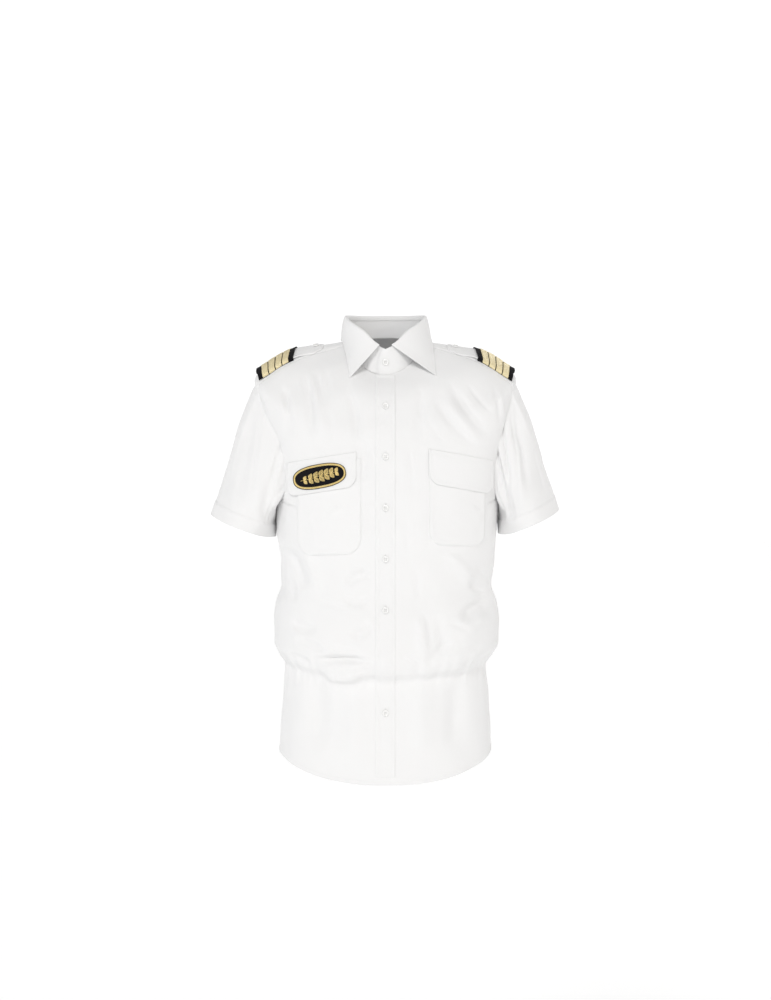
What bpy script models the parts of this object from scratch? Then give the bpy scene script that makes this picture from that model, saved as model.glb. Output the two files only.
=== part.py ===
"""Short-sleeve uniform shirt, filled out and hollow, as it is when worn.

Front faces -Y, +Z is up, and the origin lies at the base of the neck, level with the shoulders' high
points. Right and left are the wearer's, so the right side is at -X. Every table is in millimetres and
every mesh is made in metres.
"""

import math

import bpy
import numpy as np
from mathutils import Vector
from mathutils.bvhtree import BVHTree

MM = 0.001
CLOTH = 1.6
SEAM_GAP = 0.3
LAYER_GAP = 0.4
BADGE_GAP = 0.8

# Rings of the body, from the neck seam down to the tail's hem. Each is a rounded oval whose height
# runs from its level at the sides to its levels at the centre front and centre back.
BODY_RINGS = [
    # side_z front_z back_z  right  left   front  back   square
    (6.0, -58.0, 18.0, 67.0, 67.0, 66.0, 60.0, 2.00),      # neck seam
    (1.0, -78.0, 10.0, 100.0, 100.0, 88.0, 82.0, 2.00),    # under the collar's edge
    (-10.0, -104.0, -14.0, 158.0, 158.0, 104.0, 103.0, 2.10),
    (-29.0, -130.0, -50.0, 202.0, 202.0, 112.0, 114.0, 2.20),
    (-56.0, -156.0, -92.0, 225.0, 225.0, 118.0, 120.0, 2.30),   # shoulder points
    (-105.0, -190.0, -140.0, 214.0, 218.0, 122.0, 123.0, 2.35),
    (-160.0, -228.0, -190.0, 199.0, 206.0, 124.0, 123.0, 2.40),
    (-215.0, -268.0, -235.0, 190.0, 198.0, 125.0, 120.0, 2.40),
    (-262.0, -302.0, -278.0, 187.0, 194.0, 125.0, 116.0, 2.40),   # underarm points
    (-321.0, -343.0, -330.0, 185.0, 190.0, 123.0, 109.0, 2.35),
    (-371.0, -380.0, -375.0, 178.0, 187.0, 120.0, 103.0, 2.30),
    (-408.0, -412.0, -410.0, 178.0, 181.0, 119.0, 101.0, 2.30),
    (-440.0, -444.0, -442.0, 187.0, 190.0, 121.0, 106.0, 2.30),
    (-476.0, -482.0, -480.0, 191.0, 194.0, 124.0, 111.0, 2.30),
    (-508.0, -524.0, -514.0, 191.0, 193.0, 126.0, 111.0, 2.30),
    (-527.0, -552.0, -538.0, 183.0, 183.0, 119.0, 104.0, 2.30),   # the waist is drawn in here
    (-546.0, -572.0, -556.0, 172.0, 172.0, 108.0, 99.0, 2.30),
    (-605.0, -630.0, -620.0, 177.0, 177.0, 108.0, 108.0, 2.30),
    (-692.0, -738.0, -752.0, 181.0, 181.0, 110.0, 116.0, 2.30),   # tail's hem
]
FRONT_FALL = 1.5
BACK_FALL = 2.0
YOKE_RING = 4.25
ARMPIT_RING = 8.0
HEM_RING = float(len(BODY_RINGS) - 1)
TAIL_RING = 16.0
TAIL_SHARE = 0.45

# Yoke's front seam: its angle round the ring from the centre front.
YOKE_SEAM = [(0.0, 77.0), (2.4, 70.0), (YOKE_RING, 74.0)]
ARMHOLE_START = 16.0
ARMHOLE_BULGE = {"right": 16.0, "left": 9.0, "back": 9.0}
ARMHOLE_TURN = 0.40
ARMHOLE_POWER = 8.0

# Folds on the body: each runs from one point to another, seen square on, with its middle pushed aside
# by bow. Depth is outward for a ridge and negative for a trough.
BODY_FOLDS = [
    # face  x0  z0  x1  z1  bow  width  depth
    ("front", -141, -45, -124, -156, 6, 10, -6.2),
    ("front", -124, -60, -108, -150, 4, 9, 3.8),
    ("front", -170, -80, -160, -150, 4, 9, -5.0),
    ("front", -120, -46, -106, -100, 3, 7, -4.4),
    ("front", -66, -70, -44, -180, 5, 12, -4.4),
    ("front", -36, -165, -38, -240, 0, 13, -5.0),
    ("front", 108, -68, 176, -160, -8, 10, -6.2),
    ("front", 100, -92, 160, -172, -8, 9, 4.4),
    ("front", 92, -108, 152, -178, -6, 9, -5.0),
    ("front", 64, -78, 60, -170, -6, 14, -4.4),
    ("front", -172, -345, -136, -420, 8, 9, -6.2),
    ("front", -150, -335, -112, -430, 8, 11, 4.4),
    ("front", -160, -462, -112, -484, -5, 9, -5.6),
    ("front", -70, -404, -22, -386, 3, 8, -5.6),
    ("front", -72, -428, -22, -432, -4, 8, -4.4),
    ("front", -60, -492, -20, -470, -3, 8, -5.0),
    ("front", -122, -536, -20, -532, 12, 8, -10.6),
    ("front", -104, -556, -34, -556, -6, 13, 8.8),
    ("front", 182, -428, 124, -470, -5, 10, -9.4),
    ("front", 178, -455, 120, -500, -5, 13, 5.6),
    ("front", 138, -398, 174, -424, -4, 7, -5.0),
    ("front", 92, -352, 148, -414, 8, 10, 5.0),
    ("front", 76, -440, 86, -532, 5, 10, -5.6),
    ("front", 52, -450, 60, -530, 4, 10, 4.4),
    ("front", 118, -496, 60, -546, -4, 9, -5.0),
    ("back", -150, -120, -120, -260, 8, 12, -5.0),
    ("back", 150, -120, 122, -262, -8, 12, -5.0),
    ("back", -60, -110, -52, -330, 4, 13, -5.0),
    ("back", 62, -110, 50, -300, -4, 13, -5.0),
    ("back", -160, -330, -60, -400, 10, 12, -5.6),
    ("back", 160, -335, 70, -420, -10, 12, -5.6),
    ("back", -130, -440, -30, -470, -6, 11, -6.2),
    ("back", 128, -452, 36, -486, 6, 11, -6.2),
    ("back", -96, -500, -80, -600, 3, 13, 6.2),
    ("back", 84, -500, 92, -610, -3, 13, 6.2),
    ("back", -20, -490, 14, -560, 3, 12, 5.6),
    ("tail", -118, -545, -110, -690, 3, 16, -6.2),
    ("tail", -52, -560, -58, -700, 3, 18, 5.0),
    ("tail", 58, -560, 62, -700, -3, 18, 5.0),
    ("tail", 120, -545, 108, -690, 3, 16, -6.2),
]
FACE_BLEND = 30.0

# Sleeves: hem ring, an oval square to the arm, and folds laid out flat. Round is 0 at the top of the
# sleeve head, a quarter at the front and a half at the underarm; down is 0 at the armhole and 1 at the hem.
SLEEVES = [
    # side  outer_x  outer_z  inner_x  inner_z  mid_y  half_depth
    ("right", -298.0, -289.0, -195.0, -335.0, -6.0, 64.0),
    ("left", 296.0, -281.0, 199.0, -331.0, -6.0, 63.0),
]
SLEEVE_HEAD_PUFF = 5.0
SLEEVE_BELLY = 4.0
SLEEVE_HEM_WIDTH = 25.0
SLEEVE_HEM_STEP = 0.8
SLEEVE_ROOT_SHIFT = 0.7
SLEEVE_FOLDS = [
    # side  round0  down0  round1  down1  width  depth
    ("right", 0.10, 0.10, 0.20, 0.85, 0.030, -3.5),
    ("right", 0.27, 0.30, 0.33, 0.80, 0.028, -4.0),
    ("right", 0.42, 0.10, 0.36, 0.75, 0.030, -4.0),
    ("right", 0.60, 0.10, 0.70, 0.80, 0.032, -4.0),
    ("right", 0.84, 0.08, 0.78, 0.70, 0.030, -3.5),
    ("left", 0.11, 0.05, 0.21, 0.70, 0.028, -4.5),
    ("left", 0.16, 0.15, 0.27, 0.85, 0.028, 3.5),
    ("left", 0.31, 0.15, 0.35, 0.85, 0.028, -5.0),
    ("left", 0.43, 0.10, 0.40, 0.75, 0.030, -3.5),
    ("left", 0.62, 0.10, 0.70, 0.80, 0.032, -4.0),
    ("left", 0.86, 0.08, 0.80, 0.70, 0.030, -3.5),
]

# Collar. Turn is degrees from the centre front; heights follow the fold line as it climbs to the back.
COLLAR_FOLD = [
    # turn  height
    (0.0, -14.0), (15.0, -5.0), (32.0, 13.0), (64.0, 33.0), (90.0, 45.0), (135.0, 50.0), (180.0, 52.0),
]
COLLAR_CLOTH = 1.8
STAND_OVERLAP = 10.0
STAND_LAP_OFFSET = 2.2
FALL_START = 8.0
FALL_EDGE_RADIUS = [(38.0, 103.0), (60.0, 94.0), (90.0, 84.0), (135.0, 82.0), (180.0, 82.0)]
FALL_TIPS = {"right": (-65.0, -66.0), "left": (79.0, -62.0)}
FALL_REST = 2.2
FALL_INSET = 0.8
FALL_RISE = 2.2
FALL_OUTSET = 4.2
FALL_SHOULDER = 1.2
FALL_ROLL = 3.0

PLACKET_WIDTH = 32.0
PLACKET_CLOTH = 1.2
PLACKET_TOP = -66.0
PLACKET_BOTTOM = -724.0

# Pockets and flaps: corners seen square on, inner side first.
POCKETS = [
    # side  inner_x  outer_x  top_z  tilt  bottom_z  corner
    ("right", -40.0, -146.0, -204.0, -0.10, -358.0, 16.0),
    ("left", 72.0, 166.0, -202.0, -0.10, -343.0, 16.0),
]
FLAPS = [
    # side  inner_x  outer_x  inner_top_z  outer_top_z  drop  corner
    ("right", -48.0, -163.0, -188.0, -205.0, 57.0, 12.0),
    ("left", 71.0, 180.0, -183.0, -201.0, 57.0, 12.0),
]
POCKET_CLOTH = 1.2
FLAP_CLOTH = 1.6
FLAP_LIFT = 2.1
FLAP_SEAM_WIDTH = 8.0

# Shoulder straps, their slides and the braid bars: distances along X from the neck outwards.
STRAP_INNER_X = 106.0
STRAP_FRONT_Y = -37.0
STRAP_BACK_Y = 11.0
STRAP_POINT = 16.0
STRAP_CLOTH = 1.6
STRAP_SPARE = 0.3
SLIDE_INNER_X = 150.0
SLIDE_OUTER_X = 215.0
SLIDE_MARGIN = 2.8
SLIDE_CLOTH = 1.2
BAR_COUNT = 4
BAR_WIDTH = 12.2
BAR_PITCH = 14.4
BAR_CLOTH = 0.8
BAR_FIRST = 11.0
STRAP_NARROW = 0.80
STRAP_TIP = 0.35
SLIDE_LENGTH = 80.0

BUTTON_RADIUS = 5.5
BUTTON_THICK = 2.2
BUTTON_GAP = 0.4
BUTTON_Z = [-112.0, -196.0, -280.0, -364.0, -448.0, -618.0]

BADGE_CENTRE = (-109.0, -228.0)
BADGE_HALF = (45.0, 20.0)
BADGE_TILT = 10.0
BADGE_CLOTH = 1.2
BADGE_RIM_WIDTH = 3.0
BADGE_RIM_HEIGHT = 0.8

MATERIALS = {
    # name: base colour, roughness, metallic
    "white_cloth": ((0.86, 0.87, 0.90, 1.0), 0.80, 0.0),
    "black_felt": ((0.012, 0.012, 0.014, 1.0), 0.90, 0.0),
    "gold_braid": ((0.80, 0.66, 0.34, 1.0), 0.45, 0.3),
    "pearl_button": ((0.88, 0.88, 0.86, 1.0), 0.35, 0.0),
}


def smooth_curve(table):
    """Monotone cubic through the rows of a table whose first column is the position."""
    knots = np.array(table, dtype=float)
    x = knots[:, 0]
    y = knots[:, 1:]
    h = np.diff(x)[:, None]
    slope = np.diff(y, axis=0) / h
    tangent = np.zeros_like(y)
    tangent[0] = slope[0]
    tangent[-1] = slope[-1]
    same_way = slope[:-1] * slope[1:] > 0
    with np.errstate(divide="ignore", invalid="ignore"):
        w1 = 2 * h[1:] + h[:-1]
        w2 = h[1:] + 2 * h[:-1]
        mean = (w1 + w2) / (w1 / slope[:-1] + w2 / slope[1:])
    tangent[1:-1] = np.where(same_way, mean, 0.0)

    def value(position):
        p = np.clip(np.asarray(position, dtype=float), x[0], x[-1])
        k = np.clip(np.searchsorted(x, p, side="right") - 1, 0, len(x) - 2)
        step = h[k, 0]
        t = ((p - x[k]) / step)[..., None]
        step = step[..., None]
        a = (1 + 2 * t) * (1 - t) ** 2 * y[k]
        b = t * (1 - t) ** 2 * step * tangent[k]
        c = t * t * (3 - 2 * t) * y[k + 1]
        d = t * t * (t - 1) * step * tangent[k + 1]
        return a + b + c + d

    return value


def smoothstep(t):
    t = np.clip(t, 0.0, 1.0)
    return t * t * (3 - 2 * t)


ring_at = smooth_curve([(k, *row) for k, row in enumerate(BODY_RINGS)])
yoke_seam_at = smooth_curve(YOKE_SEAM)
collar_fold_at = smooth_curve(COLLAR_FOLD)
fall_radius_at = smooth_curve(FALL_EDGE_RADIUS)


def plain_body(ring, turn):
    """A point of the body without folds: ring counts down from the neck, turn is in degrees, + to the left."""
    ring, turn = np.broadcast_arrays(np.asarray(ring, dtype=float), np.asarray(turn, dtype=float))
    side_z, front_z, back_z, right, left, front, back, square = np.moveaxis(ring_at(ring), -1, 0)
    s = np.sin(np.radians(turn))
    c = np.cos(np.radians(turn))
    power = 2.0 / square
    x = np.where(s < 0, right, left) * np.sign(s) * np.abs(s) ** power
    y = np.where(c > 0, -front, back) * np.abs(c) ** power
    z = side_z + (np.where(c > 0, front_z, back_z) - side_z) * np.abs(c) ** np.where(c > 0, FRONT_FALL, BACK_FALL)
    return np.stack([x, y, z], axis=-1)


def body_normal(ring, turn):
    d_ring = 0.02
    d_turn = 0.4
    down = plain_body(ring + d_ring, turn) - plain_body(np.maximum(ring - d_ring, 0.0), turn)
    across = plain_body(ring, turn + d_turn) - plain_body(ring, turn - d_turn)
    n = np.cross(down, across)
    return n / np.linalg.norm(n, axis=-1, keepdims=True)


def fold_height(points, folds):
    """How far each point is moved out by the folds of its face."""
    x, y, z = np.moveaxis(points, -1, 0)
    height = np.zeros_like(x)
    for face, x0, z0, x1, z1, bow, width, depth in folds:
        length = math.hypot(x1 - x0, z1 - z0)
        ux = (x1 - x0) / length
        uz = (z1 - z0) / length
        along = ((x - x0) * ux + (z - z0) * uz) / length
        aside = -(x - x0) * uz + (z - z0) * ux
        path = bow * 4 * along * (1 - along)
        taper = smoothstep(along / 0.35) * smoothstep((1 - along) / 0.35)
        bump = depth * np.exp(-(((aside - path) / width) ** 2)) * taper
        if face == "front":
            bump = bump * smoothstep(-y / FACE_BLEND)
        elif face == "back":
            bump = bump * smoothstep(y / FACE_BLEND)
        height += bump
    return height


def body(ring, turn):
    points = plain_body(ring, turn)
    return points + body_normal(ring, turn) * fold_height(points, BODY_FOLDS)[..., None]


def armhole_turn(ring, place):
    """Degrees from the side seam to the armhole's edge, at a ring between the yoke and the underarm."""
    s = np.clip((ring - YOKE_RING) / (ARMPIT_RING - YOKE_RING), 0.0, 1.0)
    depth = ARMHOLE_START + ARMHOLE_BULGE[place] * smoothstep(s / ARMHOLE_TURN)
    return float(depth * math.sqrt(max(1 - s**ARMHOLE_POWER, 0.0)))


def front_edge(ring, side):
    """Degrees from the centre front to the front's outer edge: yoke seam, armhole, then side seam."""
    if ring < YOKE_RING:
        return float(yoke_seam_at(ring)[0])
    if ring < ARMPIT_RING:
        return 90.0 - armhole_turn(ring, "left" if side > 0 else "right")
    return 90.0


def back_edge(ring):
    """Degrees from the centre front to the back's outer edge."""
    if ring < ARMPIT_RING:
        return 90.0 + armhole_turn(ring, "back")
    return 90.0


def even_row(ring, turn0, turn1, count, trim0, trim1):
    """Points evenly spaced along one ring, with the ends held back by the trims."""
    turns = np.linspace(turn0, turn1, 241)
    path = body(np.full_like(turns, ring), turns)
    run = np.concatenate([[0.0], np.cumsum(np.linalg.norm(np.diff(path, axis=0), axis=1))])
    marks = np.linspace(trim0, run[-1] - trim1, count)
    at = np.interp(marks, run, turns)
    rings = np.full(count, ring)
    return np.concatenate([body(rings, at), body_normal(rings, at)], axis=-1)


def ring_steps(top, bottom, count, fixed=(), turn=35.0):
    """Ring numbers evenly spaced down the body, with the fixed ones among them."""
    dense = np.linspace(top, bottom, 400)
    path = plain_body(dense, np.full_like(dense, turn))
    lengths = np.linalg.norm(np.diff(path, axis=0), axis=1)
    lengths[dense[1:] > TAIL_RING] *= TAIL_SHARE
    run = np.concatenate([[0.0], np.cumsum(lengths)])
    steps = list(np.interp(np.linspace(0.0, run[-1], count), run, dense))
    for value in fixed:
        nearest = min(range(1, len(steps) - 1), key=lambda k: abs(steps[k] - value))
        steps[nearest] = value
    return sorted(steps)


def grid_normals(grid, closed):
    """Outward normals of a grid of points, from its own neighbours."""
    if closed:
        across = np.roll(grid, -1, axis=1) - np.roll(grid, 1, axis=1)
    else:
        across = np.gradient(grid, axis=1)
    down = np.gradient(grid, axis=0)
    n = np.cross(down, across)
    return n / np.maximum(np.linalg.norm(n, axis=-1, keepdims=True), 1e-9)


def material(name):
    found = bpy.data.materials.get(name)
    if found:
        return found
    colour, roughness, metallic = MATERIALS[name]
    made = bpy.data.materials.new(name)
    made.use_nodes = True
    shader = made.node_tree.nodes["Principled BSDF"]
    shader.inputs["Base Color"].default_value = colour
    shader.inputs["Roughness"].default_value = roughness
    shader.inputs["Metallic"].default_value = metallic
    made.diffuse_color = colour
    return made


def facing_out(vertices, faces):
    """Turns every face over if the closed shape's volume comes out negative."""
    points = np.asarray(vertices, dtype=float)
    volume = 0.0
    for face in faces:
        a = points[face[0]]
        for k in range(1, len(face) - 1):
            volume += float(np.dot(a, np.cross(points[face[k]], points[face[k + 1]])))
    return faces if volume > 0 else [(f[0], *tuple(f)[:0:-1]) for f in faces]


def add_mesh(name, vertices, faces, material_name):
    mesh = bpy.data.meshes.new(name)
    mesh.from_pydata([tuple(v * MM) for v in vertices], [], facing_out(vertices, faces))
    mesh.validate()
    mesh.shade_smooth()
    mesh.set_sharp_from_angle(angle=math.radians(50))
    mesh.materials.append(material(material_name))
    thing = bpy.data.objects.new(name, mesh)
    bpy.context.scene.collection.objects.link(thing)
    return thing


def wall_faces(rows, columns, closed):
    """Faces of a wall between an outer and an inner grid; closed joins the last column to the first."""
    count = rows * columns
    span = columns if closed else columns - 1
    faces = []
    for i in range(rows - 1):
        for j in range(span):
            k = (j + 1) % columns
            a, b = i * columns + j, i * columns + k
            c, d = (i + 1) * columns + k, (i + 1) * columns + j
            faces.append((a, d, c, b))
            faces.append((a + count, b + count, c + count, d + count))
    for j in range(span):
        k = (j + 1) % columns
        faces.append((j, k, k + count, j + count))
        base = (rows - 1) * columns
        faces.append((base + k, base + j, base + j + count, base + k + count))
    if not closed:
        for i in range(rows - 1):
            a, d = i * columns, (i + 1) * columns
            faces.append((a, a + count, d + count, d))
            b, c = a + columns - 1, d + columns - 1
            faces.append((b, c, c + count, b + count))
    return faces


def add_wall(name, outer, inner, material_name, closed=False):
    rows, columns = outer.shape[:2]
    vertices = np.concatenate([outer.reshape(-1, 3), inner.reshape(-1, 3)])
    return add_mesh(name, vertices, wall_faces(rows, columns, closed), material_name)


def add_panel(name, rows):
    """A panel of the body, from rows that hold each point and the plain body's normal there."""
    grid, normals = rows[..., :3], rows[..., 3:]
    add_wall(name, grid, grid - normals * CLOTH, "white_cloth")
    return grid


def add_cloth(name, grid, thick, material_name="white_cloth", closed=False):
    """A cloth wall whose outer face is the grid."""
    return add_wall(name, grid, grid - grid_normals(grid, closed) * thick, material_name, closed)


def surface_of(grids):
    """A surface to lay pieces on, from open grids of points."""
    vertices = []
    faces = []
    for grid in grids:
        rows, columns = grid.shape[:2]
        base = len(vertices)
        vertices.extend(Vector(p) for p in grid.reshape(-1, 3))
        for i in range(rows - 1):
            for j in range(columns - 1):
                a = base + i * columns + j
                faces.append((a, a + 1, a + columns + 1, a + columns))
    return BVHTree.FromPolygons(vertices, faces)


def lay(surface, grid, start, way):
    """Moves each point of the grid along way until it lies on the surface."""
    result = np.zeros_like(grid)
    for index in np.ndindex(grid.shape[:2]):
        origin = Vector(grid[index]) + Vector(start)
        hit = surface.ray_cast(origin, Vector(way))[0]
        if hit is None:
            hit = surface.find_nearest(Vector(grid[index]))[0]
        result[index] = hit
    return result


def rest_on(surface, grid, normals, gap, start=None, rounds=4, parts=4):
    """How far to lift each point so that the layer's facets stay a gap clear of the surface's facets."""
    rows, columns = grid.shape[:2]
    lift = np.full((rows, columns), gap) if start is None else start.copy()
    shares = np.linspace(0.0, 1.0, parts + 1)
    for _ in range(rounds):
        raised = grid + normals * lift[..., None]
        more = np.zeros_like(lift)
        for i in range(rows - 1):
            for j in range(columns - 1):
                corners = raised[i : i + 2, j : j + 2]
                ways = normals[i : i + 2, j : j + 2]
                lack = 0.0
                for a in shares:
                    for b in shares:
                        if a >= b:
                            weights = np.array([[1 - a, 0.0], [a - b, b]])[..., None]
                        else:
                            weights = np.array([[1 - b, b - a], [0.0, a]])[..., None]
                        point = (corners * weights).sum(axis=(0, 1))
                        n = (ways * weights).sum(axis=(0, 1))
                        n = n / np.linalg.norm(n)
                        hit = surface.ray_cast(Vector(point + n * 15.0), Vector(-n), 30.0)[0]
                        if hit is not None:
                            lack = max(lack, gap - float((point - np.array(hit)) @ n))
                more[i : i + 2, j : j + 2] = np.maximum(more[i : i + 2, j : j + 2], lack)
        if more.max() < 0.02:
            break
        lift += more
    return lift


def lay_from_front(surface, x, z):
    grid = np.stack([x, np.full_like(x, -300.0), z], axis=-1)
    return lay(surface, grid, (0, 0, 0), (0, 1, 0))


def lay_from_above(surface, x, y):
    grid = np.stack([x, y, np.full_like(x, 200.0)], axis=-1)
    return lay(surface, grid, (0, 0, 0), (0, 0, -1))


def facing(grid, way):
    """Normals of an open grid, turned to point along way."""
    n = grid_normals(grid, False)
    flip = np.sum(n * np.array(way, dtype=float), axis=-1, keepdims=True) < 0
    return np.where(flip, -n, n)


def add_layer(name, base, normals, low, high, material_name, flip=False):
    """A layer between two heights over the base points."""
    outer = base + normals * np.asarray(high, dtype=float)[..., None] if np.ndim(high) else base + normals * high
    inner = base + normals * np.asarray(low, dtype=float)[..., None] if np.ndim(low) else base + normals * low
    if flip:
        outer = outer[:, ::-1]
        inner = inner[:, ::-1]
    return add_wall(name, outer, inner, material_name)


# The four panels of the body
def front_steps(rows=39):
    fixed = (YOKE_RING, ARMPIT_RING, ARMPIT_RING - 0.06, ARMPIT_RING - 0.3)
    return ring_steps(0.0, HEM_RING, rows, fixed)


def front_grid(side, columns=15):
    steps = front_steps()
    half_gap = SEAM_GAP / 2
    lines = []
    for ring in steps:
        edge = front_edge(ring, side)
        lines.append(even_row(ring, 0.0, side * edge, columns, half_gap, half_gap))
    grid = np.array(lines)
    return grid if side > 0 else grid[:, ::-1]


def back_grid(rows=27, columns=22):
    fixed = (ARMPIT_RING, ARMPIT_RING - 0.06, ARMPIT_RING - 0.3)
    steps = ring_steps(YOKE_RING + 0.006, HEM_RING, rows, fixed, turn=145.0)
    half_gap = SEAM_GAP / 2
    return np.array([
        even_row(ring, back_edge(ring), 360.0 - back_edge(ring), columns, half_gap, half_gap) for ring in steps
    ])


def yoke_grid(columns=31):
    steps = [ring for ring in front_steps() if ring < YOKE_RING] + [YOKE_RING - 0.006]
    half_gap = SEAM_GAP / 2
    return np.array([
        even_row(ring, front_edge(ring, 1), 360.0 - front_edge(ring, -1), columns, half_gap, half_gap)
        for ring in steps
    ])


def armhole_loop(side, count):
    """The armhole's edge from the shoulder point, down the front, under the arm and up the back."""
    rings = YOKE_RING + (ARMPIT_RING - YOKE_RING) * np.sin(np.linspace(0.0, math.pi / 2, 60))
    top_front = np.linspace(90.0, front_edge(YOKE_RING, side), 12)
    top_back = np.linspace(back_edge(YOKE_RING), 90.0, 12)
    ring_list = [YOKE_RING] * 12 + list(rings[1:]) + list(rings[::-1][1:-1]) + [YOKE_RING] * 12
    turn_list = list(top_front) + [front_edge(r, side) for r in rings[1:]]
    turn_list += [back_edge(r) for r in rings[::-1][1:-1]] + list(top_back)
    path = body(np.array(ring_list), side * np.array(turn_list))
    half = 12 + 59 - 1
    first = path[: half + 1]
    second = path[half:]

    def evenly(line, n):
        run = np.concatenate([[0.0], np.cumsum(np.linalg.norm(np.diff(line, axis=0), axis=1))])
        marks = np.linspace(0.0, run[-1], n)
        return np.stack([np.interp(marks, run, line[:, k]) for k in range(3)], axis=-1)

    return np.concatenate([evenly(first, count // 2 + 1)[:-1], evenly(second, count // 2 + 1)[:-1]])


def sleeve_fold_height(side, around, down, folds):
    height = np.zeros(np.broadcast_shapes(around.shape, down.shape))
    for name, r0, d0, r1, d1, width, depth in folds:
        if name != side:
            continue
        along = np.clip((down - d0) / (d1 - d0), 0.0, 1.0)
        inside = (down - d0) / (d1 - d0)
        aside = around - (r0 + (r1 - r0) * along)
        aside = (aside + 0.5) % 1.0 - 0.5
        taper = smoothstep(inside / 0.3) * smoothstep((1 - inside) / 0.3)
        height += depth * np.exp(-((aside / width) ** 2)) * taper
    return height


def sleeve_grid(row, rows=9, columns=26):
    name, outer_x, outer_z, inner_x, inner_z, mid_y, half_depth = row
    side = 1.0 if name == "left" else -1.0
    root = armhole_loop(side, columns)
    turn = np.linspace(0.0, 2 * math.pi, columns, endpoint=False)
    centre = np.array([(outer_x + inner_x) / 2, mid_y, (outer_z + inner_z) / 2])
    across = np.array([(outer_x - inner_x) / 2, 0.0, (outer_z - inner_z) / 2])
    hem = centre + np.cos(turn)[:, None] * across - np.sin(turn)[:, None] * np.array([0.0, half_depth, 0.0])
    axis = (hem.mean(axis=0) - root.mean(axis=0)) / np.linalg.norm(hem.mean(axis=0) - root.mean(axis=0))
    down = np.linspace(0.0, 1.0, rows)[:, None, None]
    around = (turn / (2 * math.pi))[None, :]
    grid = root[None] * (1 - down) + hem[None] * down
    middle = grid.mean(axis=1, keepdims=True)
    radial = grid - middle
    radial -= np.sum(radial * axis, axis=-1, keepdims=True) * axis
    radial /= np.linalg.norm(radial, axis=-1, keepdims=True)
    flat_down = down[..., 0]
    top = np.maximum(np.cos(turn), 0.0)[None, :] ** 2
    puff = SLEEVE_HEAD_PUFF * top * np.sin(math.pi * np.minimum(flat_down * 1.6, 1.0))
    belly = SLEEVE_BELLY * np.sin(math.pi * flat_down) * np.sin(turn)[None, :] ** 2
    height = puff + belly + sleeve_fold_height(name, around, flat_down, SLEEVE_FOLDS)
    grid = grid + radial * height[..., None]
    shift = SLEEVE_ROOT_SHIFT * (1 - flat_down)[..., None]
    grid = grid + shift * (axis * 0.6 + np.array([side * 0.8, 0.0, 0.0]))
    return grid if side < 0 else grid[:, ::-1]


def add_sleeve(row):
    """A sleeve with its turned hem, which stands a step proud of the cloth above it."""
    grid = sleeve_grid(row)
    length = np.linalg.norm(grid[-1].mean(axis=0) - grid[0].mean(axis=0))
    place = 1.0 - SLEEVE_HEM_WIDTH / length
    last = grid[-1]
    top_of_hem = grid[-2] + (last - grid[-2]) * (place - 0.875) / 0.125 if place > 0.875 else None
    if top_of_hem is None:
        place_in_row = (place - 0.75) / 0.125
        top_of_hem = grid[-3] + (grid[-2] - grid[-3]) * place_in_row
        plain = grid[:-2]
    else:
        plain = grid[:-1]
    outer = np.concatenate([plain, top_of_hem[None], top_of_hem[None], last[None]])
    normals = grid_normals(np.concatenate([plain, top_of_hem[None], last[None]]), True)
    normals = np.concatenate([normals[: len(plain)], normals[-2:-1], normals[-2:-1], normals[-1:]])
    lift = np.zeros(len(outer))
    lift[-2:] = SLEEVE_HEM_STEP
    slope = (last - top_of_hem) * 0.02
    outer = outer + normals * lift[:, None, None]
    outer[-2] += slope
    inner = np.concatenate([plain, top_of_hem[None], (top_of_hem + slope)[None], last[None]]) - normals * CLOTH
    return add_wall("sleeve_" + row[0], outer, inner, "white_cloth", closed=True)


# The collar
def neck_point(turn, radius, z):
    """A point round the neck, on the neck seam's oval grown to another radius."""
    turn = np.asarray(turn, dtype=float)
    base = plain_body(np.zeros_like(turn), turn)
    grown = radius / BODY_RINGS[0][3]
    return np.stack([base[..., 0] * grown, base[..., 1] * grown, np.broadcast_to(z, turn.shape)], axis=-1)


def turn_from_front(turn):
    return np.abs((np.asarray(turn, dtype=float) + 180.0) % 360.0 - 180.0)


def stand_grid(rows=3, columns=45):
    turn = np.linspace(STAND_OVERLAP, -360.0 - STAND_OVERLAP, columns)
    seam = plain_body(np.zeros_like(turn), turn)
    top = collar_fold_at(turn_from_front(turn))[..., 0]
    lap = -STAND_LAP_OFFSET * smoothstep((turn + 24.0) / 10.0)
    grid = []
    for k in range(rows):
        w = k / (rows - 1)
        z = (seam[:, 2] + SEAM_GAP) * (1 - w) + top * w
        point = neck_point(turn, BODY_RINGS[0][3] + lap, z)
        grid.append(point)
    return np.array(grid)[::-1, ::-1]


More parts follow.
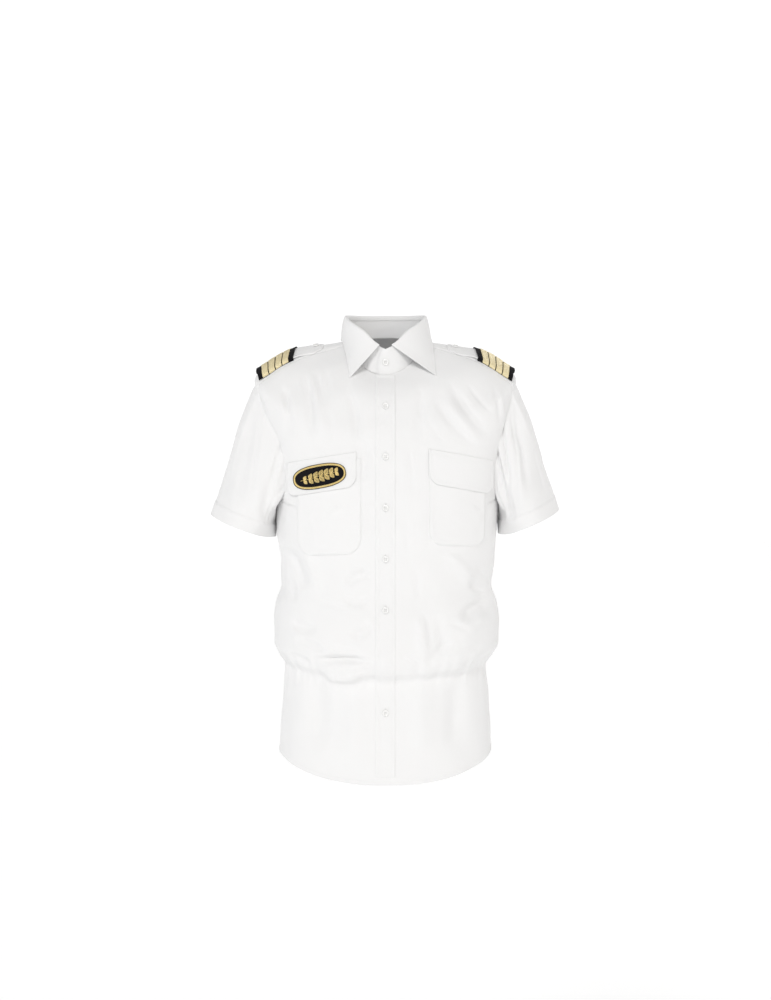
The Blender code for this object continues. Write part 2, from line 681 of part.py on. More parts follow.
def fall_grid(surface, rows=7, columns=33):
    """The turned-down leaf: from the fold line, over it, and down to the shirt."""
    tip = {}
    for name, (x, z) in FALL_TIPS.items():
        hit = lay_from_front(surface, np.array([[x]]), np.array([[z]]))[0, 0]
        tip[name] = (math.degrees(math.atan2(abs(x), -hit[1])), math.hypot(x, hit[1]))
    stand_radius = BODY_RINGS[0][3]
    lines = []
    for k in range(rows):
        w = k / (rows - 1)
        lines.append([])
        for j in range(columns):
            s = -1.0 + 2.0 * j / (columns - 1)
            name = "left" if s < 0 else "right"
            side = 1.0 if s < 0 else -1.0
            start = FALL_START + (tip[name][0] - FALL_START) * w**1.1
            around = start + (180.0 - start) * (1 - abs(s)) ** 0.85
            turn = side * around
            fold_z = float(collar_fold_at(around)[0])
            scale = np.linalg.norm(neck_point(turn, stand_radius, 0.0)[:2]) / stand_radius
            inner_r = stand_radius * scale
            blend = smoothstep((around - tip[name][0]) / 30.0)
            edge_r = tip[name][1] * (1 - blend) + float(fall_radius_at(around)[0]) * blend
            direction = neck_point(turn, 1.0, 0.0)[:2]
            direction = direction / np.linalg.norm(direction)
            edge_xy = direction * edge_r
            edge_hit = lay_from_above(surface, np.array([[edge_xy[0]]]), np.array([[edge_xy[1]]]))[0, 0]
            edge_z = edge_hit[2] + COLLAR_CLOTH + FALL_REST
            if k == 0:
                radius, z = inner_r - FALL_INSET, fold_z + COLLAR_CLOTH + FALL_RISE
            elif k == 1:
                radius, z = inner_r + FALL_OUTSET, fold_z + COLLAR_CLOTH + FALL_SHOULDER
            else:
                v = (k - 1) / (rows - 2)
                radius = (inner_r + FALL_OUTSET) * (1 - v) + edge_r * v
                z = (fold_z + COLLAR_CLOTH + FALL_SHOULDER) * (1 - v) + edge_z * v
                radius += FALL_ROLL * math.sin(math.pi * v) * (1 - 0.5 * v)
            lines[k].append([direction[0] * radius, direction[1] * radius, z])
    return np.array(lines)


# Pieces laid on the fronts
def rounded_sides(t, half, corner, depth):
    """Half width at a depth t up from a bottom edge with rounded corners."""
    d = np.clip((corner - t * depth) / corner, 0.0, 1.0)
    return half - corner * (1 - np.sqrt(1 - d * d * 0.98))


def pocket_base(surface, row, rows=10, columns=8):
    name, inner_x, outer_x, top_z, tilt, bottom_z, corner = row
    middle = (inner_x + outer_x) / 2
    half = abs(outer_x - inner_x) / 2
    depth = top_z - bottom_z
    steps = np.concatenate([[0.0, 0.012, 0.04], np.linspace(0.10, 1.0, rows - 3)])
    x = np.zeros((rows, columns))
    z = np.zeros((rows, columns))
    for i, t in enumerate(steps[::-1]):
        w = rounded_sides(t, half, corner, depth)
        x[i] = middle + np.linspace(-w, w, columns)
        z[i] = bottom_z + depth * t + tilt * (np.abs(x[i]) - abs(middle)) * (0.4 + 0.6 * t)
    return lay_from_front(surface, x, z)


def flap_base(surface, row, rows=7, columns=9):
    name, inner_x, outer_x, inner_top, outer_top, drop, corner = row
    left, right = min(inner_x, outer_x), max(inner_x, outer_x)
    left_top, right_top = (inner_top, outer_top) if inner_x < outer_x else (outer_top, inner_top)
    middle = (left + right) / 2
    half = (right - left) / 2
    steps = np.concatenate([[0.0, 0.04, 0.12], np.linspace(0.25, 1.0, rows - 3)])
    x = np.zeros((rows, columns))
    z = np.zeros((rows, columns))
    for i, t in enumerate(steps[::-1]):
        w = rounded_sides(t, half, corner, drop)
        x[i] = middle + np.linspace(-w, w, columns)
        top = left_top + (right_top - left_top) * (x[i] - left) / (right - left)
        z[i] = top - drop * (1 - t)
    return lay_from_front(surface, x, z), steps[::-1]


def oval_faces(rings, count):
    """Faces of a closed shape made of rings of points, with a fan at each end."""
    faces = []
    for r in range(rings - 1):
        for j in range(count):
            k = (j + 1) % count
            faces.append((r * count + j, r * count + k, (r + 1) * count + k, (r + 1) * count + j))
    faces.append(tuple(range(count))[::-1])
    faces.append(tuple((rings - 1) * count + j for j in range(count)))
    return faces


def add_button(name, centre, normal, material_name="pearl_button", sides=12):
    """A round button with a rounded edge, standing on centre and facing along normal."""
    n = np.array(normal) / np.linalg.norm(normal)
    across = np.cross(n, [0.0, 0.0, 1.0])
    if np.linalg.norm(across) < 0.1:
        across = np.cross(n, [0.0, 1.0, 0.0])
    across /= np.linalg.norm(across)
    up = np.cross(across, n)
    profile = [(0.86, 0.0), (1.0, 0.45), (0.88, 1.0)]
    vertices = []
    for scale, height in profile:
        for j in range(sides):
            t = 2 * math.pi * j / sides
            flat = across * math.cos(t) + up * math.sin(t)
            vertices.append(centre + flat * BUTTON_RADIUS * scale + n * (BUTTON_GAP + BUTTON_THICK * height))
    vertices = np.array(vertices)
    faces = oval_faces(len(profile), sides)
    a, b, c = (vertices[i] for i in faces[0][:3])
    outward = np.cross(b - a, c - a) @ (a - vertices.mean(axis=0)) > 0
    if not outward:
        faces = [f[::-1] for f in faces]
    return add_mesh(name, vertices, faces, material_name)


def badge_points(scale, count):
    """An oval with gently flattened ends, seen square on."""
    t = np.linspace(0.0, 2 * math.pi, count, endpoint=False)
    half_x, half_z = BADGE_HALF[0] + scale, BADGE_HALF[1] + scale
    x = half_x * np.sign(np.cos(t)) * np.abs(np.cos(t)) ** 0.8
    z = half_z * np.sign(np.sin(t)) * np.abs(np.sin(t)) ** 0.8
    tilt = math.radians(BADGE_TILT)
    return (
        BADGE_CENTRE[0] + x * math.cos(tilt) - z * math.sin(tilt),
        BADGE_CENTRE[1] + x * math.sin(tilt) + z * math.cos(tilt),
    )


def add_badge(surface, count=28, rings=3):
    """The patch's ground, made of rings round its centre, and the raised rim on it."""
    outlines = [badge_points(0.0, count)]
    for k in range(1, rings):
        x, z = outlines[0]
        f = 1.0 - k / rings
        outlines.append((BADGE_CENTRE[0] + (x - BADGE_CENTRE[0]) * f, BADGE_CENTRE[1] + (z - BADGE_CENTRE[1]) * f))
    x = np.array([o[0] for o in outlines] + [np.full(count, BADGE_CENTRE[0])])
    z = np.array([o[1] for o in outlines] + [np.full(count, BADGE_CENTRE[1])])
    base = lay_from_front(surface, x, z)
    around = np.roll(base, -1, axis=1) - np.roll(base, 1, axis=1)
    inward = np.gradient(base, axis=0)
    n = np.cross(around, inward)
    n[-1] = n[-2].mean(axis=0)
    n /= np.linalg.norm(n, axis=-1, keepdims=True)
    n = np.where(n[..., 1:2] > 0, -n, n)
    low = base + n * BADGE_GAP
    high = low + n * BADGE_CLOTH
    vertices = list(high[:-1].reshape(-1, 3)) + [high[-1, 0]] + list(low[:-1].reshape(-1, 3)) + [low[-1, 0]]
    half = rings * count + 1
    faces = []
    for j in range(count):
        k = (j + 1) % count
        for r in range(rings - 1):
            a, b = r * count + j, r * count + k
            c, d = (r + 1) * count + k, (r + 1) * count + j
            faces.append((a, b, c, d))
            faces.append((a + half, d + half, c + half, b + half))
        a, b = (rings - 1) * count + j, (rings - 1) * count + k
        faces.append((a, b, half - 1))
        faces.append((a + half, half + half - 1, b + half))
        faces.append((j, j + half, k + half, k))
    add_mesh("badge_ground", np.array(vertices), faces, "black_felt")

    rim = []
    for inset in (1.0, 1.0 + BADGE_RIM_WIDTH):
        x, z = badge_points(-inset, count)
        rim.append((x, z))
    x = np.array([r[0] for r in rim])
    z = np.array([r[1] for r in rim])
    flat = lay_from_front(surface, x, z)
    n_rim = np.stack([n[0], n[0]])
    bottom = flat + n_rim * (BADGE_GAP + BADGE_CLOTH + LAYER_GAP)
    top = bottom + n_rim * BADGE_RIM_HEIGHT
    rings4 = np.array([top[0], top[1], bottom[1], bottom[0]])
    faces = []
    for r in range(4):
        s = (r + 1) % 4
        for j in range(count):
            k = (j + 1) % count
            faces.append((r * count + j, r * count + k, s * count + k, s * count + j))
    vertices = rings4.reshape(-1, 3)
    add_mesh("badge_rim", vertices, faces, "gold_braid")


# Shoulder straps
def strap_stops():
    """Distances from the neck's centre line at which a strap is measured across."""
    point = [STRAP_INNER_X, STRAP_INNER_X + 5.0, STRAP_INNER_X + STRAP_POINT]
    ramp = [SLIDE_INNER_X - 16.0, SLIDE_INNER_X - 4.0]
    return np.array(point + ramp + list(np.linspace(SLIDE_INNER_X, SLIDE_OUTER_X, 7)))


def strap_base(surface, side, stops, reach=0.0, columns=6):
    """Points on the shoulder under a strap: a column at each edge of the slide, and the strap's own between."""
    middle = (STRAP_FRONT_Y + STRAP_BACK_Y) / 2
    half = (STRAP_BACK_Y - STRAP_FRONT_Y) / 2
    along = smoothstep((stops - STRAP_INNER_X) / 90.0)
    width = half * (STRAP_NARROW + (1 - STRAP_NARROW) * along)
    tip = np.clip((stops - STRAP_INNER_X) / STRAP_POINT, 0.0, 1.0)
    width = width * (STRAP_TIP + (1 - STRAP_TIP) * np.sqrt(tip))
    share = np.linspace(-1.0, 1.0, columns)
    y = middle + width[:, None] * share
    outside = width[:, None] + SLIDE_MARGIN
    y = np.concatenate([middle - outside, y, middle + outside], axis=1)
    x = side * stops[:, None] * np.ones(columns + 2)
    return lay_from_above(surface, x, y)


def add_strap_and_slide(surface, name):
    side = 1.0 if name == "left" else -1.0
    stops = strap_stops()
    base = strap_base(surface, side, stops)
    n = facing(base, (side * 0.3, 0.0, 1.0))
    seat = rest_on(surface, base, n, LAYER_GAP + STRAP_SPARE)
    seat = np.broadcast_to(seat.max(axis=1, keepdims=True), seat.shape)
    passage = SLIDE_CLOTH + LAYER_GAP
    rise = passage * smoothstep((stops - stops[3]) / (stops[4] - stops[3]))[:, None]
    low = seat + rise
    own = slice(1, -1)
    add_layer("shoulder_strap_" + name, base[:, own], n[:, own], low[:, own], low[:, own] + STRAP_CLOTH, "white_cloth")

    inside = slice(5, len(stops))
    over, way = base[inside], n[inside]
    floor = seat[inside][..., None]
    roof = floor + passage + STRAP_CLOTH + LAYER_GAP
    low_out = over + way * floor
    low_in = over + way * (floor + SLIDE_CLOTH)
    high_in = over + way * roof
    high_out = over + way * (roof + SLIDE_CLOTH)
    share = SLIDE_CLOTH / SLIDE_MARGIN
    for layer in (high_in, low_in):
        layer[:, 0] += (layer[:, 1] - layer[:, 0]) * share
        layer[:, -1] += (layer[:, -2] - layer[:, -1]) * share
    outer = np.concatenate([high_out, low_out[:, ::-1]], axis=1)
    inner = np.concatenate([high_in, low_in[:, ::-1]], axis=1)
    columns = over.shape[1]
    vertices = np.concatenate([outer.reshape(-1, 3), inner.reshape(-1, 3)])
    faces = wall_faces(outer.shape[0], outer.shape[1], True)
    add_mesh("rank_slide_" + name, vertices, faces, "black_felt")

    slide_top = surface_of([high_out])
    shrink = (SLIDE_OUTER_X - SLIDE_INNER_X) / SLIDE_LENGTH
    for k in range(BAR_COUNT):
        start = SLIDE_INNER_X + (BAR_FIRST + k * BAR_PITCH) * shrink
        bar_stops = np.array([start, start + BAR_WIDTH * shrink / 2, start + BAR_WIDTH * shrink])
        y = high_out[0, :, 1] * 0.985 + high_out[0, :, 1].mean() * 0.015
        bar = lay_from_above(slide_top, side * bar_stops[:, None] * np.ones(columns), bar_stops[:, None] * 0 + y)
        bar_n = facing(bar, (side * 0.3, 0.0, 1.0))
        lift = rest_on(slide_top, bar, bar_n, LAYER_GAP)
        add_layer("rank_bar_%s_%d" % (name, k + 1), bar, bar_n, lift, lift + BAR_CLOTH, "gold_braid")

    top = surface_of([base[:, own] + n[:, own] * (low[:, own] + STRAP_CLOTH)[..., None]])
    x, y = np.meshgrid([side * (STRAP_INNER_X + 10.0), side * (STRAP_INNER_X + 16.0)], [-4.0, 2.0])
    seat = lay_from_above(top, x.T, y.T)
    n = facing(seat, (side * 0.3, 0.0, 1.0)).mean(axis=(0, 1))
    add_button("strap_button_" + name, seat.mean(axis=(0, 1)), n)


def build_shirt():
    right = add_panel("front_right", front_grid(-1))
    left = add_panel("front_left", front_grid(1))
    back = add_panel("back", back_grid())
    yoke = add_panel("yoke", yoke_grid())
    for row in SLEEVES:
        add_sleeve(row)

    both_fronts = np.concatenate([right, left], axis=1)
    fronts = surface_of([both_fronts])
    shoulders = surface_of([both_fronts, yoke, back])

    stand = stand_grid()
    add_cloth("collar_stand", stand, COLLAR_CLOTH)
    add_cloth("collar_fall", fall_grid(shoulders), COLLAR_CLOTH)

    half = PLACKET_WIDTH / 2
    levels = [z for z in left[:, 0, 2] if PLACKET_BOTTOM < z < PLACKET_TOP - 4.0]
    levels = np.array([PLACKET_TOP] + levels + [PLACKET_BOTTOM])
    grid_x, grid_z = np.meshgrid(np.linspace(-half, half, 4), levels)
    base = lay_from_front(fronts, grid_x, grid_z)
    n = facing(base, (0, -1, 0.3))
    lift = rest_on(fronts, base, n, LAYER_GAP)
    add_layer("placket", base, n, lift, lift + PLACKET_CLOTH, "white_cloth")
    placket = surface_of([base + n * (lift + PLACKET_CLOTH)[..., None]])
    for k, level in enumerate(BUTTON_Z):
        x, z = np.meshgrid([-4.0, 0.0, 4.0], [level + 4.0, level, level - 4.0])
        spot = lay_from_front(placket, x, z)
        n = facing(spot, (0, -1, 0.3)).mean(axis=(0, 1))
        add_button("button_%d" % (k + 1), spot.mean(axis=(0, 1)), n)

    for pocket, flap in zip(POCKETS, FLAPS):
        name = pocket[0]
        base = pocket_base(fronts, pocket)
        n = facing(base, (0, -1, 0))
        lift = rest_on(fronts, base, n, LAYER_GAP)
        add_layer("pocket_" + name, base, n, lift, lift + POCKET_CLOTH, "white_cloth")
        pocket_face = surface_of([base + n * (lift + POCKET_CLOTH)[..., None]])
        base, steps = flap_base(fronts, flap)
        n = facing(base, (0, -1, 0))
        lift = rest_on(fronts, base, n, LAYER_GAP)
        lift = np.maximum(lift, (FLAP_LIFT * smoothstep((1 - steps) * flap[5] / FLAP_SEAM_WIDTH))[:, None])
        lift = rest_on(pocket_face, base, n, LAYER_GAP, start=lift)
        add_layer("pocket_flap_" + name, base, n, lift, lift + FLAP_CLOTH, "white_cloth")
        if name == "right":
            add_badge(surface_of([base + n * (lift + FLAP_CLOTH)[..., None]]))

    for name in ("right", "left"):
        add_strap_and_slide(shoulders, name)

    seam = plain_body(0.0, 0.0)
    n = np.array([0.0, -1.0, 0.0])
    level = (seam[2] + COLLAR_FOLD[0][1]) / 2
    add_button("button_collar", np.array([0.0, seam[1] - LAYER_GAP, level]), n)


for thing in list(bpy.data.objects):
    bpy.data.objects.remove(thing, do_unlink=True)
build_shirt()
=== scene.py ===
"""Looks of the short-sleeve uniform shirt: thin cloth shells on the solids' forms, with their
creases, seams and sewing, the braided slides, the patch and the buttons.

Tables are in millimetres and meshes in metres, in the model's own frame. Right and left are the
wearer's, so the right side is at -X and the front faces -Y.
"""

import math

import bpy
import numpy as np
from mathutils import Matrix, Vector
from mathutils.bvhtree import BVHTree


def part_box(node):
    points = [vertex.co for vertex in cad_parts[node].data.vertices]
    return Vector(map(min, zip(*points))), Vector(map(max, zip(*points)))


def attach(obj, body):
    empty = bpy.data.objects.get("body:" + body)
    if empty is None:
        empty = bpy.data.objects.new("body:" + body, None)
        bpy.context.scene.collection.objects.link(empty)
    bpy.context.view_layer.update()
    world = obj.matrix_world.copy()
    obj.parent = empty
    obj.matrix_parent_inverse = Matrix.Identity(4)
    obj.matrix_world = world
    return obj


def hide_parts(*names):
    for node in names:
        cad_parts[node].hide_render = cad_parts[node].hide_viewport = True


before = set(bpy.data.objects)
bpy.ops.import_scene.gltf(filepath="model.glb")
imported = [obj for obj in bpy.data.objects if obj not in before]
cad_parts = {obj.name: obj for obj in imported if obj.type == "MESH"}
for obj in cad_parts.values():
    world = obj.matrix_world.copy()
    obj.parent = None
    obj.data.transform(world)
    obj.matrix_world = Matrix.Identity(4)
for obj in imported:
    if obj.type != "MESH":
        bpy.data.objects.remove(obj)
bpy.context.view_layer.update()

MM = 0.001
CLOTH = 0.6

# Rings of the body from the neck seam to the tail's hem: heights at the sides, front and back,
# half widths and depths, and squareness. The shoulders slope a little more than the solids'.
BODY_RINGS = [
    # side_z front_z back_z  right  left   front  back   square
    (6.0, -58.0, 18.0, 67.0, 67.0, 66.0, 60.0, 2.00),
    (1.0, -78.0, 10.0, 100.0, 100.0, 88.0, 82.0, 2.00),
    (-11.0, -104.0, -15.0, 158.0, 158.0, 104.0, 103.0, 2.10),
    (-36.0, -132.0, -54.0, 202.0, 202.0, 112.0, 114.0, 2.20),
    (-61.0, -157.0, -94.0, 224.0, 224.0, 118.0, 120.0, 2.30),
    (-105.0, -190.0, -140.0, 214.0, 218.0, 122.0, 123.0, 2.35),
    (-160.0, -228.0, -190.0, 199.0, 206.0, 124.0, 123.0, 2.40),
    (-215.0, -268.0, -235.0, 190.0, 198.0, 125.0, 120.0, 2.40),
    (-262.0, -302.0, -278.0, 187.0, 194.0, 125.0, 116.0, 2.40),
    (-321.0, -343.0, -330.0, 185.0, 190.0, 123.0, 109.0, 2.35),
    (-371.0, -380.0, -375.0, 178.0, 187.0, 120.0, 103.0, 2.30),
    (-408.0, -412.0, -410.0, 178.0, 181.0, 119.0, 101.0, 2.30),
    (-440.0, -444.0, -442.0, 187.0, 190.0, 121.0, 106.0, 2.30),
    (-476.0, -482.0, -480.0, 191.0, 194.0, 124.0, 111.0, 2.30),
    (-508.0, -524.0, -514.0, 191.0, 193.0, 126.0, 111.0, 2.30),
    (-527.0, -552.0, -538.0, 183.0, 183.0, 119.0, 104.0, 2.30),
    (-546.0, -572.0, -556.0, 172.0, 172.0, 108.0, 99.0, 2.30),
    (-605.0, -630.0, -620.0, 177.0, 177.0, 108.0, 108.0, 2.30),
    (-692.0, -738.0, -752.0, 181.0, 181.0, 110.0, 116.0, 2.30),
]
FRONT_FALL = 1.5
BACK_FALL = 2.0
YOKE_RING = 4.25
ARMPIT_RING = 8.0
HEM_RING = float(len(BODY_RINGS) - 1)
YOKE_SEAM = [(0.0, 77.0), (2.4, 70.0), (YOKE_RING, 74.0)]
ARMHOLE_START = 16.0
ARMHOLE_BULGE = {"right": 16.0, "left": 9.0, "back": 9.0}
ARMHOLE_TURN = 0.40
ARMHOLE_POWER = 8.0
FACE_BLEND = 30.0

# Main folds seen square on, from one end to the other, bowed aside. Nearly all are in the solids,
# where those of the chest are a little deeper.
FOLDS = [
    # face  x0  z0  x1  z1  bow  width  depth
    ("front", -141, -45, -124, -170, 6, 8, -4.2),
    ("front", -124, -52, -104, -176, 4, 9, 2.8),
    ("front", -172, -70, -160, -168, 4, 7, -3.6),
    ("front", -122, -42, -104, -120, 3, 6, -3.0),
    ("front", -68, -62, -44, -190, 5, 10, -3.6),
    ("front", -36, -165, -38, -240, 0, 13, -5.0),
    ("front", 104, -60, 178, -166, -8, 8, -4.0),
    ("front", 96, -84, 166, -178, -8, 9, 3.0),
    ("front", 86, -98, 156, -182, -6, 7, -3.4),
    ("front", 66, -70, 60, -182, -6, 12, -3.4),
    ("front", -172, -345, -136, -420, 8, 9, -6.2),
    ("front", -150, -335, -112, -430, 8, 11, 4.4),
    ("front", -160, -462, -112, -484, -5, 9, -5.6),
    ("front", -70, -404, -22, -386, 3, 8, -5.6),
    ("front", -72, -428, -22, -432, -4, 8, -4.4),
    ("front", -60, -492, -20, -470, -3, 8, -5.0),
    ("front", -124, -534, -20, -533, 5, 6, -11.6),
    ("front", -106, -553, -34, -556, -6, 13, 9.4),
    ("front", 184, -430, 122, -470, -5, 10, -8.4),
    ("front", 178, -455, 120, -500, -5, 13, 5.6),
    ("front", 138, -398, 174, -424, -4, 7, -5.0),
    ("front", 92, -352, 148, -414, 8, 10, 5.0),
    ("front", 84, -450, 94, -536, 5, 10, -3.4),
    ("front", 52, -450, 60, -530, 4, 10, 4.4),
    ("front", 118, -496, 60, -546, -4, 9, -5.0),
    ("back", -150, -120, -120, -260, 8, 12, -5.0),
    ("back", 150, -120, 122, -262, -8, 12, -5.0),
    ("back", -60, -110, -52, -330, 4, 13, -5.0),
    ("back", 62, -110, 50, -300, -4, 13, -5.0),
    ("back", -160, -330, -60, -400, 10, 12, -5.6),
    ("back", 160, -335, 70, -420, -10, 12, -5.6),
    ("back", -130, -440, -30, -470, -6, 11, -6.2),
    ("back", 128, -452, 36, -486, 6, 11, -6.2),
    ("back", -96, -500, -80, -600, 3, 13, 6.2),
    ("back", 84, -500, 92, -610, -3, 13, 6.2),
    ("back", -20, -490, 14, -560, 3, 12, 5.6),
    ("tail", -118, -545, -110, -690, 3, 16, -6.2),
    ("tail", -52, -560, -58, -700, 3, 18, 5.0),
    ("tail", 58, -560, 62, -700, -3, 18, 5.0),
    ("tail", 120, -545, 108, -690, 3, 16, -6.2),
]

# Small creases that only the cloth shells have, in the same columns
CREASES = [
    ("front", -171, -78, -163, -126, 2, 3.5, -2.0),
    ("front", -152, -58, -147, -112, 2, 4.5, -1.3),
    ("front", -133, -66, -121, -148, 4, 3.5, -1.6),
    ("front", -100, -44, -99, -108, 2, 5.0, -1.4),
    ("front", -94, -118, -88, -180, 3, 6.0, -1.2),
    ("front", -60, -86, -48, -168, 4, 4.5, -1.6),
    ("front", -30, -150, -34, -252, -3, 4.5, -1.6),
    ("front", -28, -268, -30, -340, 3, 6.0, -1.4),
    ("front", -142, -372, -100, -394, -4, 5.0, -1.5),
    ("front", -168, -376, -152, -446, 5, 5.0, -2.2),
    ("front", -112, -438, -62, -452, 5, 5.0, -1.3),
    ("front", -156, -500, -96, -520, 6, 5.0, -2.8),
    ("front", -92, -508, -36, -514, -4, 5.0, -2.2),
    ("front", -166, -524, -118, -548, 5, 5.0, -2.8),
    ("front", -62, -544, -22, -552, 3, 4.0, -1.8),
    ("front", 122, -80, 172, -148, -5, 3.5, -2.0),
    ("front", 134, -66, 184, -128, -4, 4.0, -1.6),
    ("front", 82, -98, 122, -162, -4, 5.0, -1.4),
    ("front", 66, -122, 102, -178, -5, 5.5, -1.3),
    ("front", 60, -72, 62, -142, -3, 5.0, -1.3),
    ("front", 38, -178, 42, -262, 3, 5.5, -1.5),
    ("front", 36, -282, 40, -372, -3, 6.0, -1.4),
    ("front", 180, -66, 190, -146, 3, 4.0, -2.4),
    ("front", 188, -76, 196, -140, 3, 5.0, 1.6),
    ("front", 150, -376, 178, -396, -3, 5.0, -1.8),
    ("front", 46, -378, 54, -440, 4, 5.5, -1.5),
    ("front", 64, -450, 72, -524, 4, 5.0, -2.0),
    ("front", 96, -468, 146, -494, 5, 5.0, -2.0),
    ("front", 108, -522, 162, -504, -5, 5.0, -2.4),
    ("front", 26, -520, 62, -542, 3, 4.5, -2.0),
    ("front", 134, -546, 178, -522, -4, 5.0, -2.6),
    ("back", -176, -140, -150, -210, 5, 5.0, -2.0),
    ("back", 178, -136, 150, -214, -5, 5.0, -2.0),
    ("back", -100, -112, -92, -210, 4, 6.0, -1.8),
    ("back", 104, -116, 92, -230, -4, 6.0, -1.8),
    ("back", -8, -104, 4, -260, 5, 7.0, -1.6),
    ("back", -130, -280, -92, -350, 6, 6.0, -2.0),
    ("back", 134, -300, 96, -362, -6, 6.0, -2.0),
    ("back", -168, -392, -96, -430, 6, 5.5, -2.4),
    ("back", 168, -386, 92, -444, -7, 5.5, -2.4),
    ("back", -90, -430, 10, -440, 6, 6.0, -1.8),
    ("back", -150, -492, -70, -512, 6, 5.5, -3.0),
    ("back", 148, -500, 62, -520, -6, 5.5, -3.0),
    ("back", -50, -508, 40, -522, -5, 5.5, -2.6),
]

SIDES = {"right": -1.0, "left": 1.0}

# Sleeves: the hem's ring, then folds laid out flat. Round is 0 on top and a quarter at the front.
SLEEVES = [
    # side  outer_x  outer_z  inner_x  inner_z  mid_y  half_depth
    ("right", -298.0, -289.0, -189.0, -329.0, -6.0, 64.0),
    ("left", 296.0, -281.0, 194.0, -325.0, -6.0, 63.0),
]
SLEEVE_HEAD_PUFF = 5.0
SLEEVE_BELLY = 4.0
SLEEVE_HEM_WIDTH = 25.0
SLEEVE_HEM_DIP = 8.0
SLEEVE_GRID = (120, 150)
SLEEVE_HEM_STEP = 1.1
SLEEVE_HEM_GROOVE = 0.8
SLEEVE_TUCK_GROWTH = 1.035
SLEEVE_TUCK_DEPTH = 0.95
SLEEVE_FOLDS = [
    # side  round0  down0  round1  down1  width  depth
    ("right", 0.10, 0.10, 0.20, 0.85, 0.030, -3.5),
    ("right", 0.27, 0.30, 0.33, 0.80, 0.028, -4.0),
    ("right", 0.42, 0.10, 0.36, 0.75, 0.030, -4.0),
    ("right", 0.60, 0.10, 0.70, 0.80, 0.032, -4.0),
    ("right", 0.84, 0.08, 0.78, 0.70, 0.030, -3.5),
    ("left", 0.11, 0.05, 0.21, 0.70, 0.028, -4.5),
    ("left", 0.16, 0.15, 0.27, 0.85, 0.028, 3.5),
    ("left", 0.31, 0.15, 0.35, 0.85, 0.028, -5.0),
    ("left", 0.43, 0.10, 0.40, 0.75, 0.030, -3.5),
    ("left", 0.62, 0.10, 0.70, 0.80, 0.032, -4.0),
    ("left", 0.86, 0.08, 0.80, 0.70, 0.030, -3.5),
]

# Collar: turn is degrees from the centre front
COLLAR_FOLD = [
    # turn  height
    (0.0, -14.0), (15.0, -5.0), (32.0, 13.0), (64.0, 33.0),
    (90.0, 45.0), (135.0, 50.0), (180.0, 52.0),
]
COLLAR_CLOTH = 1.8
STAND_OVERLAP = 10.0
STAND_LAP_OFFSET = 2.2
FALL_START = 8.0
FALL_TIPS = {"right": (-60.0, -66.0), "left": (85.0, -62.0)}
FALL_REST = 0.8
FALL_OUTSET = 4.2
FALL_SHOULDER = 1.2
FALL_ROLL = 3.0

PLACKET_WIDTH = 32.0
PLACKET_TOP = -59.5
PLACKET_BOTTOM = -724.0
POCKETS = [
    # side  inner_x  outer_x  top_z  tilt  bottom_z  corner
    ("right", -40.0, -146.0, -204.0, -0.10, -358.0, 26.0),
    ("left", 72.0, 166.0, -202.0, -0.10, -343.0, 22.0),
]
FLAPS = [
    # side  inner_x  outer_x  inner_top_z  outer_top_z  drop  corner
    ("right", -48.0, -163.0, -188.0, -205.0, 57.0, 17.0),
    ("left", 71.0, 180.0, -183.0, -201.0, 57.0, 19.0),
]
STRAP_INNER_X = 106.0
STRAP_FRONT_Y = -37.0
STRAP_BACK_Y = 11.0
STRAP_POINT = 16.0
STRAP_NARROW = 0.80
STRAP_TIP = 0.35
STRAP_RISE = 1.4
SLIDE_INNER = (156.0, 150.0)
SLIDE_OUTER = (214.0, 222.0)
SLIDE_LIFT = 4.0
SLIDE_BLEND = 2.0
SLIDE_MARGIN = 2.8
SLIDE_LENGTH = 80.0
# Heights over the shoulder of the tube's lower side, and how far its upper side swells
SLIDE_OUTSIDE = (0.45, 4.6)
SLIDE_INSIDE = (1.3, 3.5)
SLIDE_INSIDE_WIDTH = 0.965
BAR_COUNT = 4
BAR_WIDTH = 13.4
BAR_PITCH = 15.3
BAR_FIRST = 11.0
BAR_PICOTS = 44
BAR_RIB_PITCH = 2.1

BUTTON_Z = [-112.0, -196.0, -280.0, -364.0, -448.0, -618.0]
BADGE_CENTRE = (-109.0, -228.0)
BADGE_HALF = (45.0, 20.0)
BADGE_TILT = 10.0


# Curves and the body's form
def smooth_curve(table):
    """Monotone cubic through the rows of a table whose first column is the position."""
    knots = np.array(table, dtype=float)
    x = knots[:, 0]
    y = knots[:, 1:]
    h = np.diff(x)[:, None]
    slope = np.diff(y, axis=0) / h
    tangent = np.zeros_like(y)
    tangent[0] = slope[0]
    tangent[-1] = slope[-1]
    same_way = slope[:-1] * slope[1:] > 0
    with np.errstate(divide="ignore", invalid="ignore"):
        w1 = 2 * h[1:] + h[:-1]
        w2 = h[1:] + 2 * h[:-1]
        mean = (w1 + w2) / (w1 / slope[:-1] + w2 / slope[1:])
    tangent[1:-1] = np.where(same_way, mean, 0.0)

    def value(position):
        p = np.clip(np.asarray(position, dtype=float), x[0], x[-1])
        k = np.clip(np.searchsorted(x, p, side="right") - 1, 0, len(x) - 2)
        step = h[k, 0]
        t = ((p - x[k]) / step)[..., None]
        step = step[..., None]
        a = (1 + 2 * t) * (1 - t) ** 2 * y[k]
        b = t * (1 - t) ** 2 * step * tangent[k]
        c = t * t * (3 - 2 * t) * y[k + 1]
        d = t * t * (t - 1) * step * tangent[k + 1]
        return a + b + c + d

    return value


def smoothstep(t):
    t = np.clip(t, 0.0, 1.0)
    return t * t * (3 - 2 * t)


ring_at = smooth_curve([(k, *row) for k, row in enumerate(BODY_RINGS)])
yoke_seam_at = smooth_curve(YOKE_SEAM)
collar_fold_at = smooth_curve(COLLAR_FOLD)


